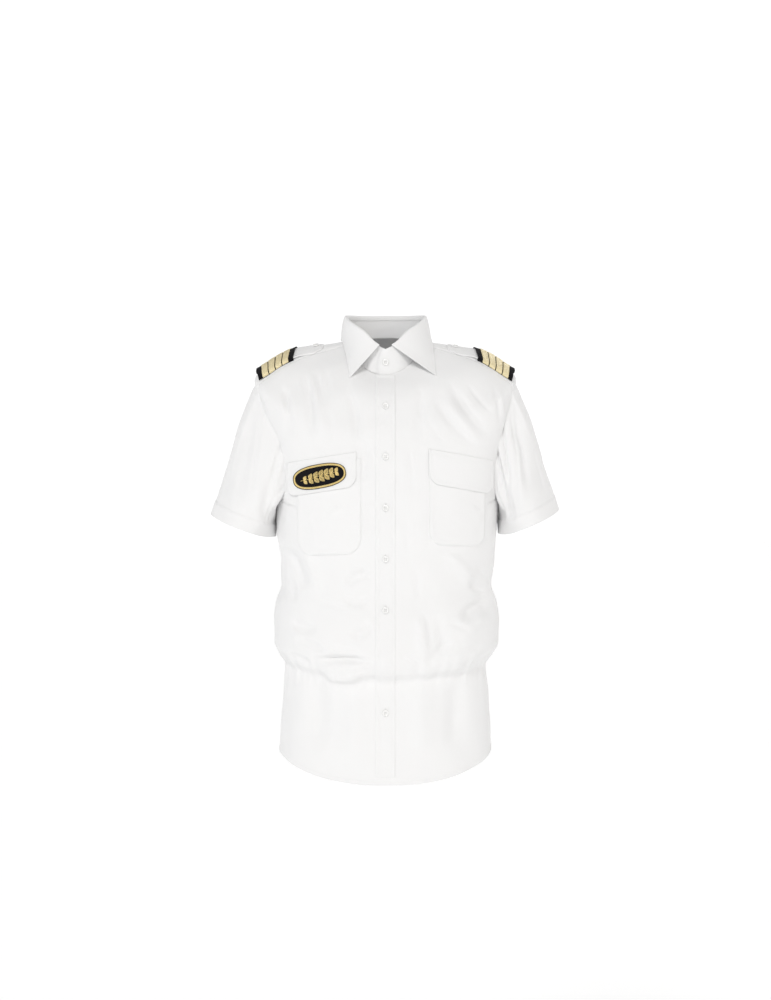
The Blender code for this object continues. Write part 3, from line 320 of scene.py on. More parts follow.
def plain_body(ring, turn):
    """Body without folds: ring counts down from the neck, turn is in degrees, + to the left."""
    ring, turn = (v.astype(float) for v in np.broadcast_arrays(ring, turn))
    side_z, front_z, back_z, right, left, front, back, square = np.moveaxis(ring_at(ring), -1, 0)
    s = np.sin(np.radians(turn))
    c = np.cos(np.radians(turn))
    power = 2.0 / square
    x = np.where(s < 0, right, left) * np.sign(s) * np.abs(s) ** power
    y = np.where(c > 0, -front, back) * np.abs(c) ** power
    drop = np.abs(c) ** np.where(c > 0, FRONT_FALL, BACK_FALL)
    z = side_z + (np.where(c > 0, front_z, back_z) - side_z) * drop
    return np.stack([x, y, z], axis=-1)


def turn_from_front(turn):
    return np.abs((np.asarray(turn, dtype=float) + 180.0) % 360.0 - 180.0)


def unit(v):
    return v / np.maximum(np.linalg.norm(v, axis=-1, keepdims=True), 1e-9)


def body_normal(ring, turn):
    d_ring = 0.02
    d_turn = 0.4
    down = plain_body(ring + d_ring, turn) - plain_body(np.maximum(ring - d_ring, 0.0), turn)
    across = plain_body(ring, turn + d_turn) - plain_body(ring, turn - d_turn)
    return unit(np.cross(down, across))


def fold_height(points, folds):
    """How far each point is moved out by the folds of its face."""
    x, y, z = np.moveaxis(points, -1, 0)
    front = smoothstep(-y / FACE_BLEND)
    back = smoothstep(y / FACE_BLEND)
    height = np.zeros_like(x)
    for face, x0, z0, x1, z1, bow, width, depth in folds:
        length = math.hypot(x1 - x0, z1 - z0)
        ux = (x1 - x0) / length
        uz = (z1 - z0) / length
        along = ((x - x0) * ux + (z - z0) * uz) / length
        aside = -(x - x0) * uz + (z - z0) * ux
        path = bow * 4 * along * (1 - along)
        taper = smoothstep(along / 0.35) * smoothstep((1 - along) / 0.35)
        bump = depth * np.exp(-(((aside - path) / width) ** 2)) * taper
        height += bump * {"front": front, "back": back, "tail": 1.0}[face]
    return height


RIPPLE_WAVES = 9
RIPPLE_LENGTHS = (48.0, 120.0)
RIPPLE_HEIGHT = 0.36
RIPPLE_DRAPE = (1.0, 1.0, 0.38)
ripple_random = np.random.default_rng(7)
ripple_ways = unit(ripple_random.normal(size=(RIPPLE_WAVES, 3)) * RIPPLE_DRAPE)
ripple_sizes = ripple_random.uniform(*RIPPLE_LENGTHS, RIPPLE_WAVES)
ripple_starts = ripple_random.uniform(0, 2 * math.pi, RIPPLE_WAVES)


def ripple(points):
    """Slight unevenness of the cloth, as a sum of long waves."""
    height = np.zeros(points.shape[:-1])
    for way, size, start in zip(ripple_ways, ripple_sizes, ripple_starts):
        height += np.sin(points @ way * (2 * math.pi / size) + start)
    return height * RIPPLE_HEIGHT


GATHER_LEVEL = -549.0
GATHER_REACH = 26.0
GATHERS = [
    # waves round the body, height, start
    (23, 0.9, 0.4), (37, 0.7, 1.9), (58, 0.45, 3.1),
]


def gathers(points, turn):
    """Small upright pleats where the waist is drawn in."""
    near = np.exp(-(((points[..., 2] - GATHER_LEVEL) / GATHER_REACH) ** 2))
    height = np.zeros_like(near)
    for waves, depth, start in GATHERS:
        height += depth * np.sin(np.radians(turn) * waves + start)
    return height * near


POCKET_CALM = 0.8
POCKET_CALM_EDGE = 14.0


def under_pockets(points):
    """1 where a pocket lies on the front, so that the cloth there stays flatter, else 0."""
    x, y, z = np.moveaxis(points, -1, 0)
    share = np.zeros_like(x)
    for pocket, flap in zip(POCKETS, FLAPS):
        places = [pocket[1], pocket[2], flap[1], flap[2]]
        across = np.minimum(x - min(places), max(places) - x) / POCKET_CALM_EDGE + 0.9
        down = np.minimum(max(flap[3], flap[4]) - z, z - pocket[5]) / POCKET_CALM_EDGE + 0.9
        share = np.maximum(share, smoothstep(np.minimum(across, down)))
    return share * smoothstep(-y / FACE_BLEND)


def dressed(ring, turn, share=1.0):
    """Points and normals of the cloth with folds, creases, ripples and gathers."""
    points = plain_body(ring, turn)
    normals = body_normal(ring, turn)
    fine = fold_height(points, CREASES) + ripple(points)
    fine = fine * (1 - POCKET_CALM * under_pockets(points))
    height = fold_height(points, FOLDS) + share * fine
    height += gathers(points, turn)
    return points + normals * height[..., None], normals


def armhole_turn(ring, place):
    s = np.clip((ring - YOKE_RING) / (ARMPIT_RING - YOKE_RING), 0.0, 1.0)
    depth = ARMHOLE_START + ARMHOLE_BULGE[place] * smoothstep(s / ARMHOLE_TURN)
    return float(depth * math.sqrt(max(1 - s**ARMHOLE_POWER, 0.0)))


def front_edge(ring, side):
    """Degrees from the centre front to the front's outer edge: yoke, armhole, then side seam."""
    if ring < YOKE_RING:
        return float(yoke_seam_at(ring)[0])
    if ring < ARMPIT_RING:
        return 90.0 - armhole_turn(ring, "left" if side > 0 else "right")
    return 90.0


def back_edge(ring):
    return 90.0 + armhole_turn(ring, "back") if ring < ARMPIT_RING else 90.0


# Meshes and materials
def facing_out(vertices, faces):
    """Turns every face over if the closed shape's volume comes out negative."""
    a, b, c = vertices[faces[:, 0]], vertices[faces[:, 1]], vertices[faces[:, 2]]
    volume = np.sum(a * np.cross(b, c))
    if faces.shape[1] == 4:
        volume += np.sum(a * np.cross(c, vertices[faces[:, 3]]))
    return faces if volume > 0 else faces[:, ::-1]


def placed(name, data):
    thing = bpy.data.objects.new(name, data)
    bpy.context.scene.collection.objects.link(thing)
    return thing


def add_mesh(name, vertices, faces, material, sharp=50.0, grain=None):
    mesh = bpy.data.meshes.new(name)
    mesh.from_pydata((np.asarray(vertices) * MM).tolist(), [], [tuple(f) for f in faces])
    mesh.shade_smooth()
    mesh.set_sharp_from_angle(angle=math.radians(sharp))
    mesh.materials.append(material)
    if grain is not None:
        made = mesh.attributes.new("grain", "FLOAT_VECTOR", "POINT")
        made.data.foreach_set("vector", np.asarray(grain, np.float32).ravel())
    return placed(name, mesh)


def wall_faces(rows, columns, closed):
    """Quads of a wall between an outer and an inner grid, whose columns may close into a ring."""
    count = rows * columns
    span = np.arange(columns if closed else columns - 1)
    nxt = (span + 1) % columns
    down = np.arange(rows - 1)[:, None] * columns
    corners = (down + span, down + columns + span, down + columns + nxt, down + nxt)
    outer = np.stack(corners, axis=-1).reshape(-1, 4)
    base = (rows - 1) * columns
    low, low_next = base + span, base + nxt
    faces = [outer, outer[:, ::-1] + count]
    faces.append(np.stack([span, nxt, nxt + count, span + count], axis=-1))
    faces.append(np.stack([low_next, low, low + count, low_next + count], axis=-1))
    if not closed:
        i = np.arange(rows - 1) * columns
        faces.append(np.stack([i, i + count, i + columns + count, i + columns], axis=-1))
        e = i + columns - 1
        faces.append(np.stack([e + columns, e + columns + count, e + count, e], axis=-1))
    return np.concatenate(faces)


def edge_runs(grid):
    """Distances along the grid from each point to its left, right, top and bottom edges."""
    across = np.linalg.norm(np.diff(grid, axis=1), axis=2)
    down = np.linalg.norm(np.diff(grid, axis=0), axis=2)
    left = np.concatenate([np.zeros((len(grid), 1)), np.cumsum(across, axis=1)], axis=1)
    top = np.concatenate([np.zeros((1, grid.shape[1])), np.cumsum(down, axis=0)], axis=0)
    return left, left[:, -1:] - left, top, top[-1:] - top


def add_shell(name, grid, normals, thick, material, closed=False, grain=None):
    """A cloth shell whose outer face is the grid, standing for the node of its name."""
    rows, columns = grid.shape[:2]
    inner = grid - normals * np.asarray(thick)[..., None]
    vertices = np.concatenate([grid.reshape(-1, 3), inner.reshape(-1, 3)])
    faces = facing_out(vertices, wall_faces(rows, columns, closed))
    if grain is None:
        left, _, top, _ = edge_runs(grid)
        grain = np.stack([left, top, np.zeros_like(left)], axis=-1)
    grain = grain.reshape(-1, 3)
    grain = np.concatenate([grain, grain])
    thing = add_mesh(name + "_cloth", vertices, faces, material, grain=grain)
    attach(thing, "root")
    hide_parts(name)
    return thing


def grid_normals(grid, closed=False):
    if closed:
        across = np.roll(grid, -1, axis=1) - np.roll(grid, 1, axis=1)
    else:
        across = np.gradient(grid, axis=1)
    return unit(np.cross(np.gradient(grid, axis=0), across))


def turned_out(grid, normals):
    """The normals, all turned over if they point to the middle of the grid's rows."""
    out = np.sum(normals * (grid - grid.mean(axis=1, keepdims=True)), axis=-1).mean()
    return normals if out > 0 else -normals


def facing(grid, way):
    """Normals of an open grid, turned to point along way."""
    n = grid_normals(grid)
    flip = np.sum(n * np.array(way, dtype=float), axis=-1, keepdims=True) < 0
    return np.where(flip, -n, n)


def surface_of(grids):
    vertices = []
    faces = []
    for grid in grids:
        rows, columns = grid.shape[:2]
        base = len(vertices)
        vertices.extend(Vector(p) for p in grid.reshape(-1, 3))
        for i in range(rows - 1):
            for j in range(columns - 1):
                a = base + i * columns + j
                faces.append((a, a + 1, a + columns + 1, a + columns))
    return BVHTree.FromPolygons(vertices, faces)


def lay(surface, grid, way):
    """Moves each point of the grid along way until it lies on the surface."""
    result = np.zeros_like(grid)
    for index in np.ndindex(grid.shape[:-1]):
        origin = Vector(grid[index])
        hit = surface.ray_cast(origin, Vector(way))[0]
        if hit is None:
            hit = surface.find_nearest(origin)[0]
        result[index] = hit
    return result


def lay_from_front(surface, x, z):
    return lay(surface, np.stack([x, np.full_like(x, -300.0), z], axis=-1), (0, 1, 0))


def spot_from_front(surface, x, z):
    return lay_from_front(surface, np.array([x]), np.array([z]))[0]


def lay_from_above(surface, x, y):
    return lay(surface, np.stack([x, y, np.full_like(x, 200.0)], axis=-1), (0, 0, -1))


def shader_of(name, colour, roughness, inputs):
    made = bpy.data.materials.new(name)
    made.use_nodes = True
    shader = made.node_tree.nodes["Principled BSDF"]
    shader.inputs["Base Color"].default_value = (*colour, 1.0)
    shader.inputs["Roughness"].default_value = roughness
    for key, value in inputs.items():
        shader.inputs[key].default_value = value
    made.diffuse_color = (*colour, 1.0)
    return made, made.node_tree, shader


def node(tree, kind, **values):
    """A shader node with the values of its inputs and settings."""
    made = tree.nodes.new(kind)
    for key, value in values.items():
        if key in made.inputs:
            made.inputs[key].default_value = value
        else:
            setattr(made, key, value)
    return made


def math_node(tree, operation, first, second):
    made = node(tree, "ShaderNodeMath", operation=operation)
    for socket, value in zip(made.inputs, (first, second)):
        if isinstance(value, (int, float)):
            socket.default_value = value
        elif value is not None:
            tree.links.new(value, socket)
    return made.outputs[0]


def tint(tree, shader, factor, low, high):
    """Drives the base colour between two shades."""
    ramp = tree.nodes.new("ShaderNodeValToRGB")
    ramp.color_ramp.elements[0].color = (*low, 1.0)
    ramp.color_ramp.elements[1].color = (*high, 1.0)
    tree.links.new(factor, ramp.inputs["Fac"])
    tree.links.new(ramp.outputs["Color"], shader.inputs["Base Color"])


def bump(tree, shader, height, distance, strength):
    made = node(tree, "ShaderNodeBump", Strength=strength, Distance=distance)
    tree.links.new(height, made.inputs["Height"])
    tree.links.new(made.outputs["Normal"], shader.inputs["Normal"])


def noise(tree, vector, scale, detail):
    made = node(tree, "ShaderNodeTexNoise", Scale=scale, Detail=detail)
    tree.links.new(vector, made.inputs["Vector"])
    return made.outputs["Fac"]


def weave(tree, pitch, stretch=1.0):
    """The cloth's own coordinates, and threads woven across and down it at a pitch in mm."""
    read = node(tree, "ShaderNodeAttribute", attribute_name="grain")
    split = tree.nodes.new("ShaderNodeSeparateXYZ")
    tree.links.new(read.outputs["Vector"], split.inputs["Vector"])
    waves = []
    for axis, turns in (("X", 2 * math.pi / pitch), ("Y", 2 * math.pi / pitch * stretch)):
        angle = math_node(tree, "MULTIPLY", split.outputs[axis], turns)
        waves.append(math_node(tree, "SINE", angle, None))
    return read.outputs["Vector"], math_node(tree, "MULTIPLY", *waves)


def white_cloth():
    """Plain-woven poplin: fine threads both ways, a little slub and a soft sheen."""
    inputs = {"Sheen Weight": 0.12, "Sheen Roughness": 0.6, "Specular IOR Level": 0.3}
    made, tree, shader = shader_of("white_cloth", (0.86, 0.86, 0.865), 0.75, inputs)
    vector, threads = weave(tree, 0.55)
    slub = math_node(tree, "MULTIPLY", noise(tree, vector, 0.9, 4.0), 2.5)
    bump(tree, shader, math_node(tree, "ADD", threads, slub), 0.00004, 0.7)
    shade = noise(tree, vector, 0.35, 3.0)
    tint(tree, shader, shade, (0.822, 0.820, 0.818), (0.838, 0.838, 0.840))
    return made


def gold_braid():
    """Woven gold lace: metal-wound threads, with small glints that are painted highlights in the
    base colour along the threads.
    """
    made, tree, shader = shader_of("gold_braid", (0.90, 0.74, 0.44), 0.40, {"Metallic": 0.30})
    vector, threads = weave(tree, 0.7, 0.8)
    bump(tree, shader, threads, 0.00012, 0.9)
    # Painted highlight: the base colour runs lighter along the woven threads, mixed with a random
    # tone from the noise.
    painted_glint = math_node(tree, "MULTIPLY", threads, 0.25)
    shade = math_node(tree, "ADD", painted_glint, noise(tree, vector, 0.8, 3.0))
    tint(tree, shader, shade, (0.80, 0.60, 0.27), (1.0, 0.96, 0.70))
    return made


def speckled(name, colour, roughness, inputs, relief, shades):
    """A material with fine noise in its relief and its shade."""
    made, tree, shader = shader_of(name, colour, roughness, inputs)
    place = tree.nodes.new("ShaderNodeTexCoord").outputs["Object"]
    scale, detail, distance, strength = relief
    bump(tree, shader, noise(tree, place, scale, detail), distance, strength)
    scale, detail, low, high = shades
    tint(tree, shader, noise(tree, place, scale, detail), low, high)
    return made


WHITE = white_cloth()
BRAID = gold_braid()
# Relief is the scale and detail of the noise, its depth in metres and strength. Shades are the
# scale and detail of the noise and the two colours that it runs between.
FELT = speckled(
    "black_felt", (0.006, 0.006, 0.007), 0.95, {"Sheen Weight": 0.04, "Specular IOR Level": 0.12},
    relief=(2600.0, 5.0, 0.0003, 0.8),
    shades=(900.0, 4.0, (0.003, 0.003, 0.004), (0.012, 0.011, 0.013)),
)
GOLD_THREAD = speckled(
    "gold_thread", (0.83, 0.62, 0.22), 0.38, {"Metallic": 0.5},
    relief=(3000.0, 3.0, 0.0001, 0.5),
    shades=(400.0, 3.0, (0.62, 0.42, 0.10), (0.95, 0.78, 0.38)),
)
THREAD = speckled(
    "white_thread", (0.88, 0.88, 0.88), 0.55, {},
    relief=(4000.0, 2.0, 0.00005, 0.5),
    shades=(60.0, 2.0, (0.83, 0.83, 0.83), (0.90, 0.90, 0.90)),
)
PEARL = speckled(
    "pearl_button", (0.88, 0.88, 0.86), 0.22, {"Coat Weight": 0.5, "Coat Roughness": 0.12},
    relief=(220.0, 4.0, 0.00005, 0.4),
    shades=(220.0, 4.0, (0.80, 0.80, 0.79), (0.93, 0.93, 0.92)),
)


# Sewing
STITCH_RINGS = [
    # along, radius, height
    (-0.50, 0.30, -0.10), (-0.30, 1.0, 0.12), (0.30, 1.0, 0.12), (0.50, 0.30, -0.10),
]
STITCH_SIDES = 4


def stitch_mesh(name, stitches, material):
    """A mesh of thread stitches, each with its middle, direction, normal, length and thickness."""
    centre, along, normal, length, thick = (np.array(v, dtype=float) for v in zip(*stitches))
    along = unit(along)
    normal = unit(normal - np.sum(normal * along, axis=-1, keepdims=True) * along)
    side = np.cross(normal, along)
    angle = (np.arange(STITCH_SIDES) + 0.5) * 2 * math.pi / STITCH_SIDES
    points = []
    for place, radius, height in STITCH_RINGS:
        middle = centre + along * (place * length)[:, None]
        middle = middle + normal * (height + thick * 0.2)[:, None]
        for a in angle:
            offset = side * math.cos(a) + normal * math.sin(a) * 0.8
            points.append(middle + offset * (radius * thick / 2)[:, None])
    points = np.stack(points, axis=1)
    faces = []
    for r in range(len(STITCH_RINGS) - 1):
        for j in range(STITCH_SIDES):
            k = (j + 1) % STITCH_SIDES
            base = r * STITCH_SIDES
            faces.append((base + j, base + k, base + STITCH_SIDES + k, base + STITCH_SIDES + j))
    faces.append(tuple(range(STITCH_SIDES))[::-1])
    last = (len(STITCH_RINGS) - 1) * STITCH_SIDES
    faces.append(tuple(last + j for j in range(STITCH_SIDES)))
    faces = facing_out(points[0] - points[0].mean(axis=0), np.array(faces))
    count = points.shape[1]
    every = (faces[None] + (np.arange(len(points)) * count)[:, None, None]).reshape(-1, 4)
    thing = add_mesh(name, points.reshape(-1, 3), every, material, sharp=80.0)
    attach(thing, "root")
    return thing


def run_of(line):
    return np.concatenate([[0.0], np.cumsum(np.linalg.norm(np.diff(line[:, :3], axis=0), axis=1))])


def resample(line, marks):
    run = run_of(line)
    return np.stack([np.interp(marks, run, line[:, k]) for k in range(line.shape[1])], axis=-1)


def running_stitches(line, pitch=3.0, length=2.3, thick=0.45):
    """Stitches along a line whose rows hold a point and a normal."""
    total = run_of(line)[-1]
    marks = np.arange(pitch, total - pitch / 2, pitch)
    at = resample(line, marks)
    before = resample(line, marks - 0.5)[:, :3]
    after = resample(line, marks + 0.5)[:, :3]
    return [(p[:3], b - a, p[3:], length, thick) for p, a, b in zip(at, before, after)]


def inset_line(grid, normals, edge, distance):
    """The line of points and normals at a distance from one edge of a grid."""
    both = np.concatenate([grid, normals], axis=-1)
    if edge in ("top", "bottom"):
        both = both.transpose(1, 0, 2)
    if edge in ("right", "bottom"):
        both = both[:, ::-1]
    return np.array([resample(row, np.array([distance]))[0] for row in both])


SEWN = {"body": [], "sleeves": [], "collar": [], "placket": [], "pockets": [], "straps": []}


def sew(group, line):
    SEWN[group].extend(running_stitches(line))


def sew_inset(group, grid, normals, edges, distances):
    """Rows of stitches along some edges of a grid, at some distances from them."""
    for edge in edges:
        for distance in distances:
            sew(group, inset_line(grid, normals, edge, distance))


# Seams as relief: a lapped seam stands a little proud and its edge dips
SEAM_WIDTH = 8.0
SEAM_HEIGHT = 0.45
SEAM_DIP = 0.9
PUCKER_HEIGHT = 0.22
PUCKER_PITCH = 11.0
PUCKER_SPREAD = 7.0
SEAM_ROWS = (1.6, SEAM_WIDTH - 1.2)
HEM_ROW = 5.4
EDGE_ROW = 6.0


def groove(distance, place, depth, width):
    """Relief of a narrow hollow along an edge, such as a row of stitches draws in."""
    return -depth * np.exp(-(((distance - place) / width) ** 2))


def lapped(distance, run):
    """Relief of a lapped seam; run is the way along it, for its small puckers."""
    ridge = SEAM_HEIGHT * smoothstep((SEAM_WIDTH + 1.0 - distance) / 1.6)
    turns = 2 * math.pi * run / PUCKER_PITCH
    wave = np.sin(turns) + 0.6 * np.sin(turns / 1.73 + 1.0)
    pucker = PUCKER_HEIGHT * wave * np.exp(-(((distance - SEAM_WIDTH) / PUCKER_SPREAD) ** 2))
    return ridge + groove(distance, 0.0, SEAM_DIP, 1.3) + pucker


def plain_seam(distance):
    return groove(distance, 0.0, SEAM_DIP, 1.6)


def rolled_hem(distance, width=6.0):
    return 0.55 * smoothstep((width + 0.8 - distance) / 1.2) + groove(distance, width, 0.35, 0.9)


# Panels of the body
def ring_steps(top, bottom, count, turn):
    """Ring numbers evenly spaced down the body."""
    dense = np.linspace(top, bottom, 900)
    path = plain_body(dense, np.full_like(dense, turn))
    run = run_of(path)
    return np.interp(np.linspace(0.0, run[-1], count), run, dense)


def even_turns(ring, turn0, turn1, count):
    turns = np.linspace(turn0, turn1, 361)
    path = plain_body(np.full_like(turns, ring), turns)
    run = run_of(path)
    return np.interp(np.linspace(0.0, run[-1], count), run, turns)


def panel(rings, limits, columns, relief):
    """A dressed panel: each ring runs between its two turns."""
    turns = np.array([even_turns(ring, *limit, columns) for ring, limit in zip(rings, limits)])
    every = np.repeat(rings[:, None], columns, axis=1)
    grid, normals = dressed(every, turns)
    height = relief(grid, every, turns, *edge_runs(grid))
    return rings, grid + normals * height[..., None], normals


def with_marks(steps, marks):
    """The steps with some exact values among them."""
    steps = np.array(steps)
    for mark in marks:
        steps[np.argmin(np.abs(steps[1:-1] - mark)) + 1] = mark
    return np.sort(steps)


ARMPIT_MARKS = [YOKE_RING, *(ARMPIT_RING - back for back in (0.3, 0.12, 0.05, 0.0))]
FRONT_TURN = 35.0
BACK_TURN = 145.0


def front_panel(side, rows=250, columns=92):
    rings = with_marks(ring_steps(0.0, HEM_RING, rows, FRONT_TURN), ARMPIT_MARKS)
    limits = [(0.0, side * front_edge(ring, side)) for ring in rings]

    def relief(grid, ring, turn, left, right, top, bottom):
        armhole = (ring > YOKE_RING) & (ring < ARMPIT_RING)
        seam = np.where(armhole, lapped(right, grid[..., 2]), plain_seam(right))
        return seam + rolled_hem(bottom)

    return panel(rings, limits, columns, relief)


def back_panel(rows=210, columns=140):
    rings = with_marks(ring_steps(YOKE_RING, HEM_RING, rows, BACK_TURN), ARMPIT_MARKS[1:])
    limits = [(back_edge(ring), 360.0 - back_edge(ring)) for ring in rings]

    def relief(grid, ring, turn, left, right, top, bottom):
        seam = lapped(np.minimum(left, right), grid[..., 2])
        return seam + plain_seam(top) + rolled_hem(bottom)

    return panel(rings, limits, columns, relief)


def yoke_panel(rows=56, columns=170):
    rings = ring_steps(0.0, YOKE_RING, rows, 120.0)
    above = np.minimum(rings, YOKE_RING - 1e-6)
    limits = [(front_edge(ring, 1), 360.0 - front_edge(ring, -1)) for ring in above]

    def relief(grid, ring, turn, left, right, top, bottom):
        back = smoothstep((turn_from_front(turn) - (90.0 + ARMHOLE_START)) / 4.0)
        return lapped(np.minimum(left, right), grid[..., 1]) + back * lapped(bottom, grid[..., 0])

    return panel(rings, limits, columns, relief)


def grain_of(grid, rings, middle, turn):
    """The cut's coordinates: across from the middle column, and down along one turn of the body."""
    left = edge_runs(grid)[0]
    across = left - left[:, middle : middle + 1]
    down = run_of(plain_body(rings, np.full_like(rings, turn)))[:, None] * np.ones_like(left)
    return np.stack([across, down, np.zeros_like(left)], axis=-1)


def add_body():
    made = {}
    for name, side in (("front_right", -1), ("front_left", 1)):
        rings, grid, normals = front_panel(side)
        grain = grain_of(grid, rings, 0, FRONT_TURN)[:, ::side]
        made[name] = grid[:, ::side]
        piece = add_shell(name, made[name], normals[:, ::side], CLOTH, WHITE, grain=grain)
        armhole = (rings >= YOKE_RING + 0.02) & (rings <= ARMPIT_RING - 0.1)
        for distance in SEAM_ROWS:
            sew("body", inset_line(grid, normals, "right", distance)[armhole])
        sew_inset("body", grid, normals, ["bottom"], [HEM_ROW])
    rings, grid, normals = back_panel()
    made["back"] = grid
    grain = grain_of(grid, rings, grid.shape[1] // 2, BACK_TURN)
    piece = add_shell("back", grid, normals, CLOTH, WHITE, grain=grain)
    sew_inset("body", grid, normals, ["left", "right"], SEAM_ROWS)
    sew_inset("body", grid, normals, ["bottom"], [HEM_ROW])
    rings, grid, normals = yoke_panel()
    made["yoke"] = grid
    grain = grain_of(grid, rings, grid.shape[1] // 2, 180.0)
    piece = add_shell("yoke", grid, normals, CLOTH, WHITE, grain=grain)
    sew_inset("body", grid, normals, ["left", "right"], SEAM_ROWS)
    for distance in SEAM_ROWS:
        line = inset_line(grid, normals, "bottom", distance)
        turn = np.degrees(np.arctan2(np.abs(line[:, 0]), -line[:, 1]))
        sew("body", line[turn > 90.0 + ARMHOLE_START])
    return made


# Sleeves
def armhole_loop(side, count):
    """The sleeve's root under the armhole's edge: from the shoulder down the front, up the back."""
    fine = 400
    top = 40
    down = YOKE_RING + (ARMPIT_RING - YOKE_RING) * np.sin(np.linspace(0.0, math.pi / 2, fine))[1:]
    up = down[::-1][1:]
    shoulder = np.full(top, YOKE_RING)
    turn = 90.0 + SLEEVE_TUCK_GROWTH * (np.concatenate([
        np.linspace(90.0, front_edge(YOKE_RING, side), top), [front_edge(r, side) for r in down],
        [back_edge(r) for r in up], np.linspace(back_edge(YOKE_RING), 90.0, top),
    ]) - 90.0)
    middle = (YOKE_RING + ARMPIT_RING) / 2
    ring = middle + (np.concatenate([shoulder, down, up, shoulder]) - middle) * SLEEVE_TUCK_GROWTH
    path, normals = dressed(ring, side * turn)
    path = path - normals * SLEEVE_TUCK_DEPTH
    half = top + fine - 2
    ends = []
    for line in (path[: half + 1], path[half:]):
        run = run_of(line)
        ends.append(resample(line, np.linspace(0.0, run[-1], count // 2 + 1))[:-1])
    return np.concatenate(ends)


def sleeve_fold_height(side, around, down, folds):
    height = np.zeros(np.broadcast_shapes(around.shape, down.shape))
    for name, r0, d0, r1, d1, width, depth in folds:
        if name != side:
            continue
        inside = (down - d0) / (d1 - d0)
        aside = around - (r0 + (r1 - r0) * np.clip(inside, 0.0, 1.0))
        aside = (aside + 0.5) % 1.0 - 0.5
        taper = smoothstep(inside / 0.3) * smoothstep((1 - inside) / 0.3)
        height += depth * np.exp(-((aside / width) ** 2)) * taper
    return height


SLEEVE_CREASES = [
    # side  round0  down0  round1  down1  width  depth
    ("right", 0.13, 0.05, 0.22, 0.60, 0.012, -1.4),
    ("right", 0.24, -0.12, 0.29, 0.46, 0.013, -3.4),
    ("right", 0.27, -0.10, 0.31, 0.36, 0.012, 2.0),
    ("right", 0.31, 0.20, 0.36, 0.85, 0.012, -1.6),
    ("right", 0.36, 0.02, 0.33, 0.40, 0.012, -2.2),
    ("right", 0.05, 0.45, 0.09, 0.85, 0.016, -1.2),
    ("right", 0.66, 0.10, 0.74, 0.65, 0.014, -1.8),
    ("right", 0.90, 0.15, 0.86, 0.80, 0.014, -1.4),
    ("right", 0.40, 0.30, 0.41, 1.40, 0.070, -8.5),
    ("left", 0.13, 0.02, 0.24, 0.55, 0.012, -2.6),
    ("left", 0.17, -0.20, 0.29, 0.50, 0.014, -4.6),
    ("left", 0.235, -0.15, 0.30, 0.42, 0.012, 2.6),
    ("left", 0.26, -0.20, 0.33, 0.62, 0.013, -3.8),
    ("left", 0.28, 0.35, 0.33, 0.85, 0.012, -2.0),
    ("left", 0.36, 0.05, 0.38, 0.60, 0.012, -2.2),
    ("left", 0.07, 0.35, 0.11, 0.85, 0.016, -1.2),
    ("left", 0.66, 0.10, 0.74, 0.65, 0.014, -1.8),
    ("left", 0.90, 0.15, 0.86, 0.80, 0.014, -1.4),
    ("left", 0.40, 0.22, 0.40, 1.40, 0.080, -9.5),
]


def sleeve_grid(row, rows, columns):
    name, outer_x, outer_z, inner_x, inner_z, mid_y, half_depth = row
    side = SIDES[name]
    root = armhole_loop(side, columns)
    turn = np.linspace(0.0, 2 * math.pi, columns, endpoint=False)
    centre = np.array([(outer_x + inner_x) / 2, mid_y, (outer_z + inner_z) / 2])
    across = np.array([(outer_x - inner_x) / 2, 0.0, (outer_z - inner_z) / 2])
    ahead = np.array([0.0, -half_depth, 0.0])
    hem = centre + np.cos(turn)[:, None] * across + np.sin(turn)[:, None] * ahead
    hem[:, 2] -= SLEEVE_HEM_DIP * np.maximum(np.sin(turn), 0.0) ** 0.7
    axis = unit(hem.mean(axis=0) - root.mean(axis=0))
    down = np.linspace(0.0, 1.0, rows)[:, None, None]
    around = (turn / (2 * math.pi))[None, :]
    grid = root[None] * (1 - down) + hem[None] * down
    radial = grid - grid.mean(axis=1, keepdims=True)
    radial = unit(radial - np.sum(radial * axis, axis=-1, keepdims=True) * axis)
    flat_down = down[..., 0]
    top = np.maximum(np.cos(turn), 0.0)[None, :] ** 2
    puff = SLEEVE_HEAD_PUFF * top * np.sin(math.pi * np.minimum(flat_down * 1.6, 1.0))
    belly = SLEEVE_BELLY * np.sin(math.pi * flat_down) * np.sin(turn)[None, :] ** 2
    height = puff + belly + sleeve_fold_height(name, around, flat_down, SLEEVE_FOLDS)
    height += sleeve_fold_height(name, around, flat_down, SLEEVE_CREASES)
    grid = grid + radial * height[..., None]
    grid = grid if side < 0 else grid[:, ::-1]
    normals = turned_out(grid, grid_normals(grid, closed=True))
    _, _, from_root, from_hem = edge_runs(grid)
    relief = ripple(grid) * smoothstep(from_root / 12.0)
    relief += SLEEVE_HEM_STEP * smoothstep((SLEEVE_HEM_WIDTH + 0.5 - from_hem) / 1.2)
    relief += groove(from_hem, SLEEVE_HEM_WIDTH - 1.0, SLEEVE_HEM_GROOVE, 1.2)
    return grid + normals * relief[..., None], normals


def add_sleeves():
    for row in SLEEVES:
        grid, normals = sleeve_grid(row, *SLEEVE_GRID)
        piece = add_shell("sleeve_" + row[0], grid, normals, CLOTH, WHITE, closed=True)
        for distance in (SLEEVE_HEM_WIDTH - 1.5, 1.5):
            line = inset_line(grid, normals, "bottom", distance)
            sew("sleeves", np.concatenate([line, line[:1]]))


# Collar
NECK_RADIUS = BODY_RINGS[0][3]


def neck_point(turn, radius, z):
    turn = np.asarray(turn, dtype=float)
    base = plain_body(np.zeros_like(turn), turn)
    grown = radius / NECK_RADIUS
    base[..., 0] *= grown
    base[..., 1] *= grown
    base[..., 2] = z
    return base


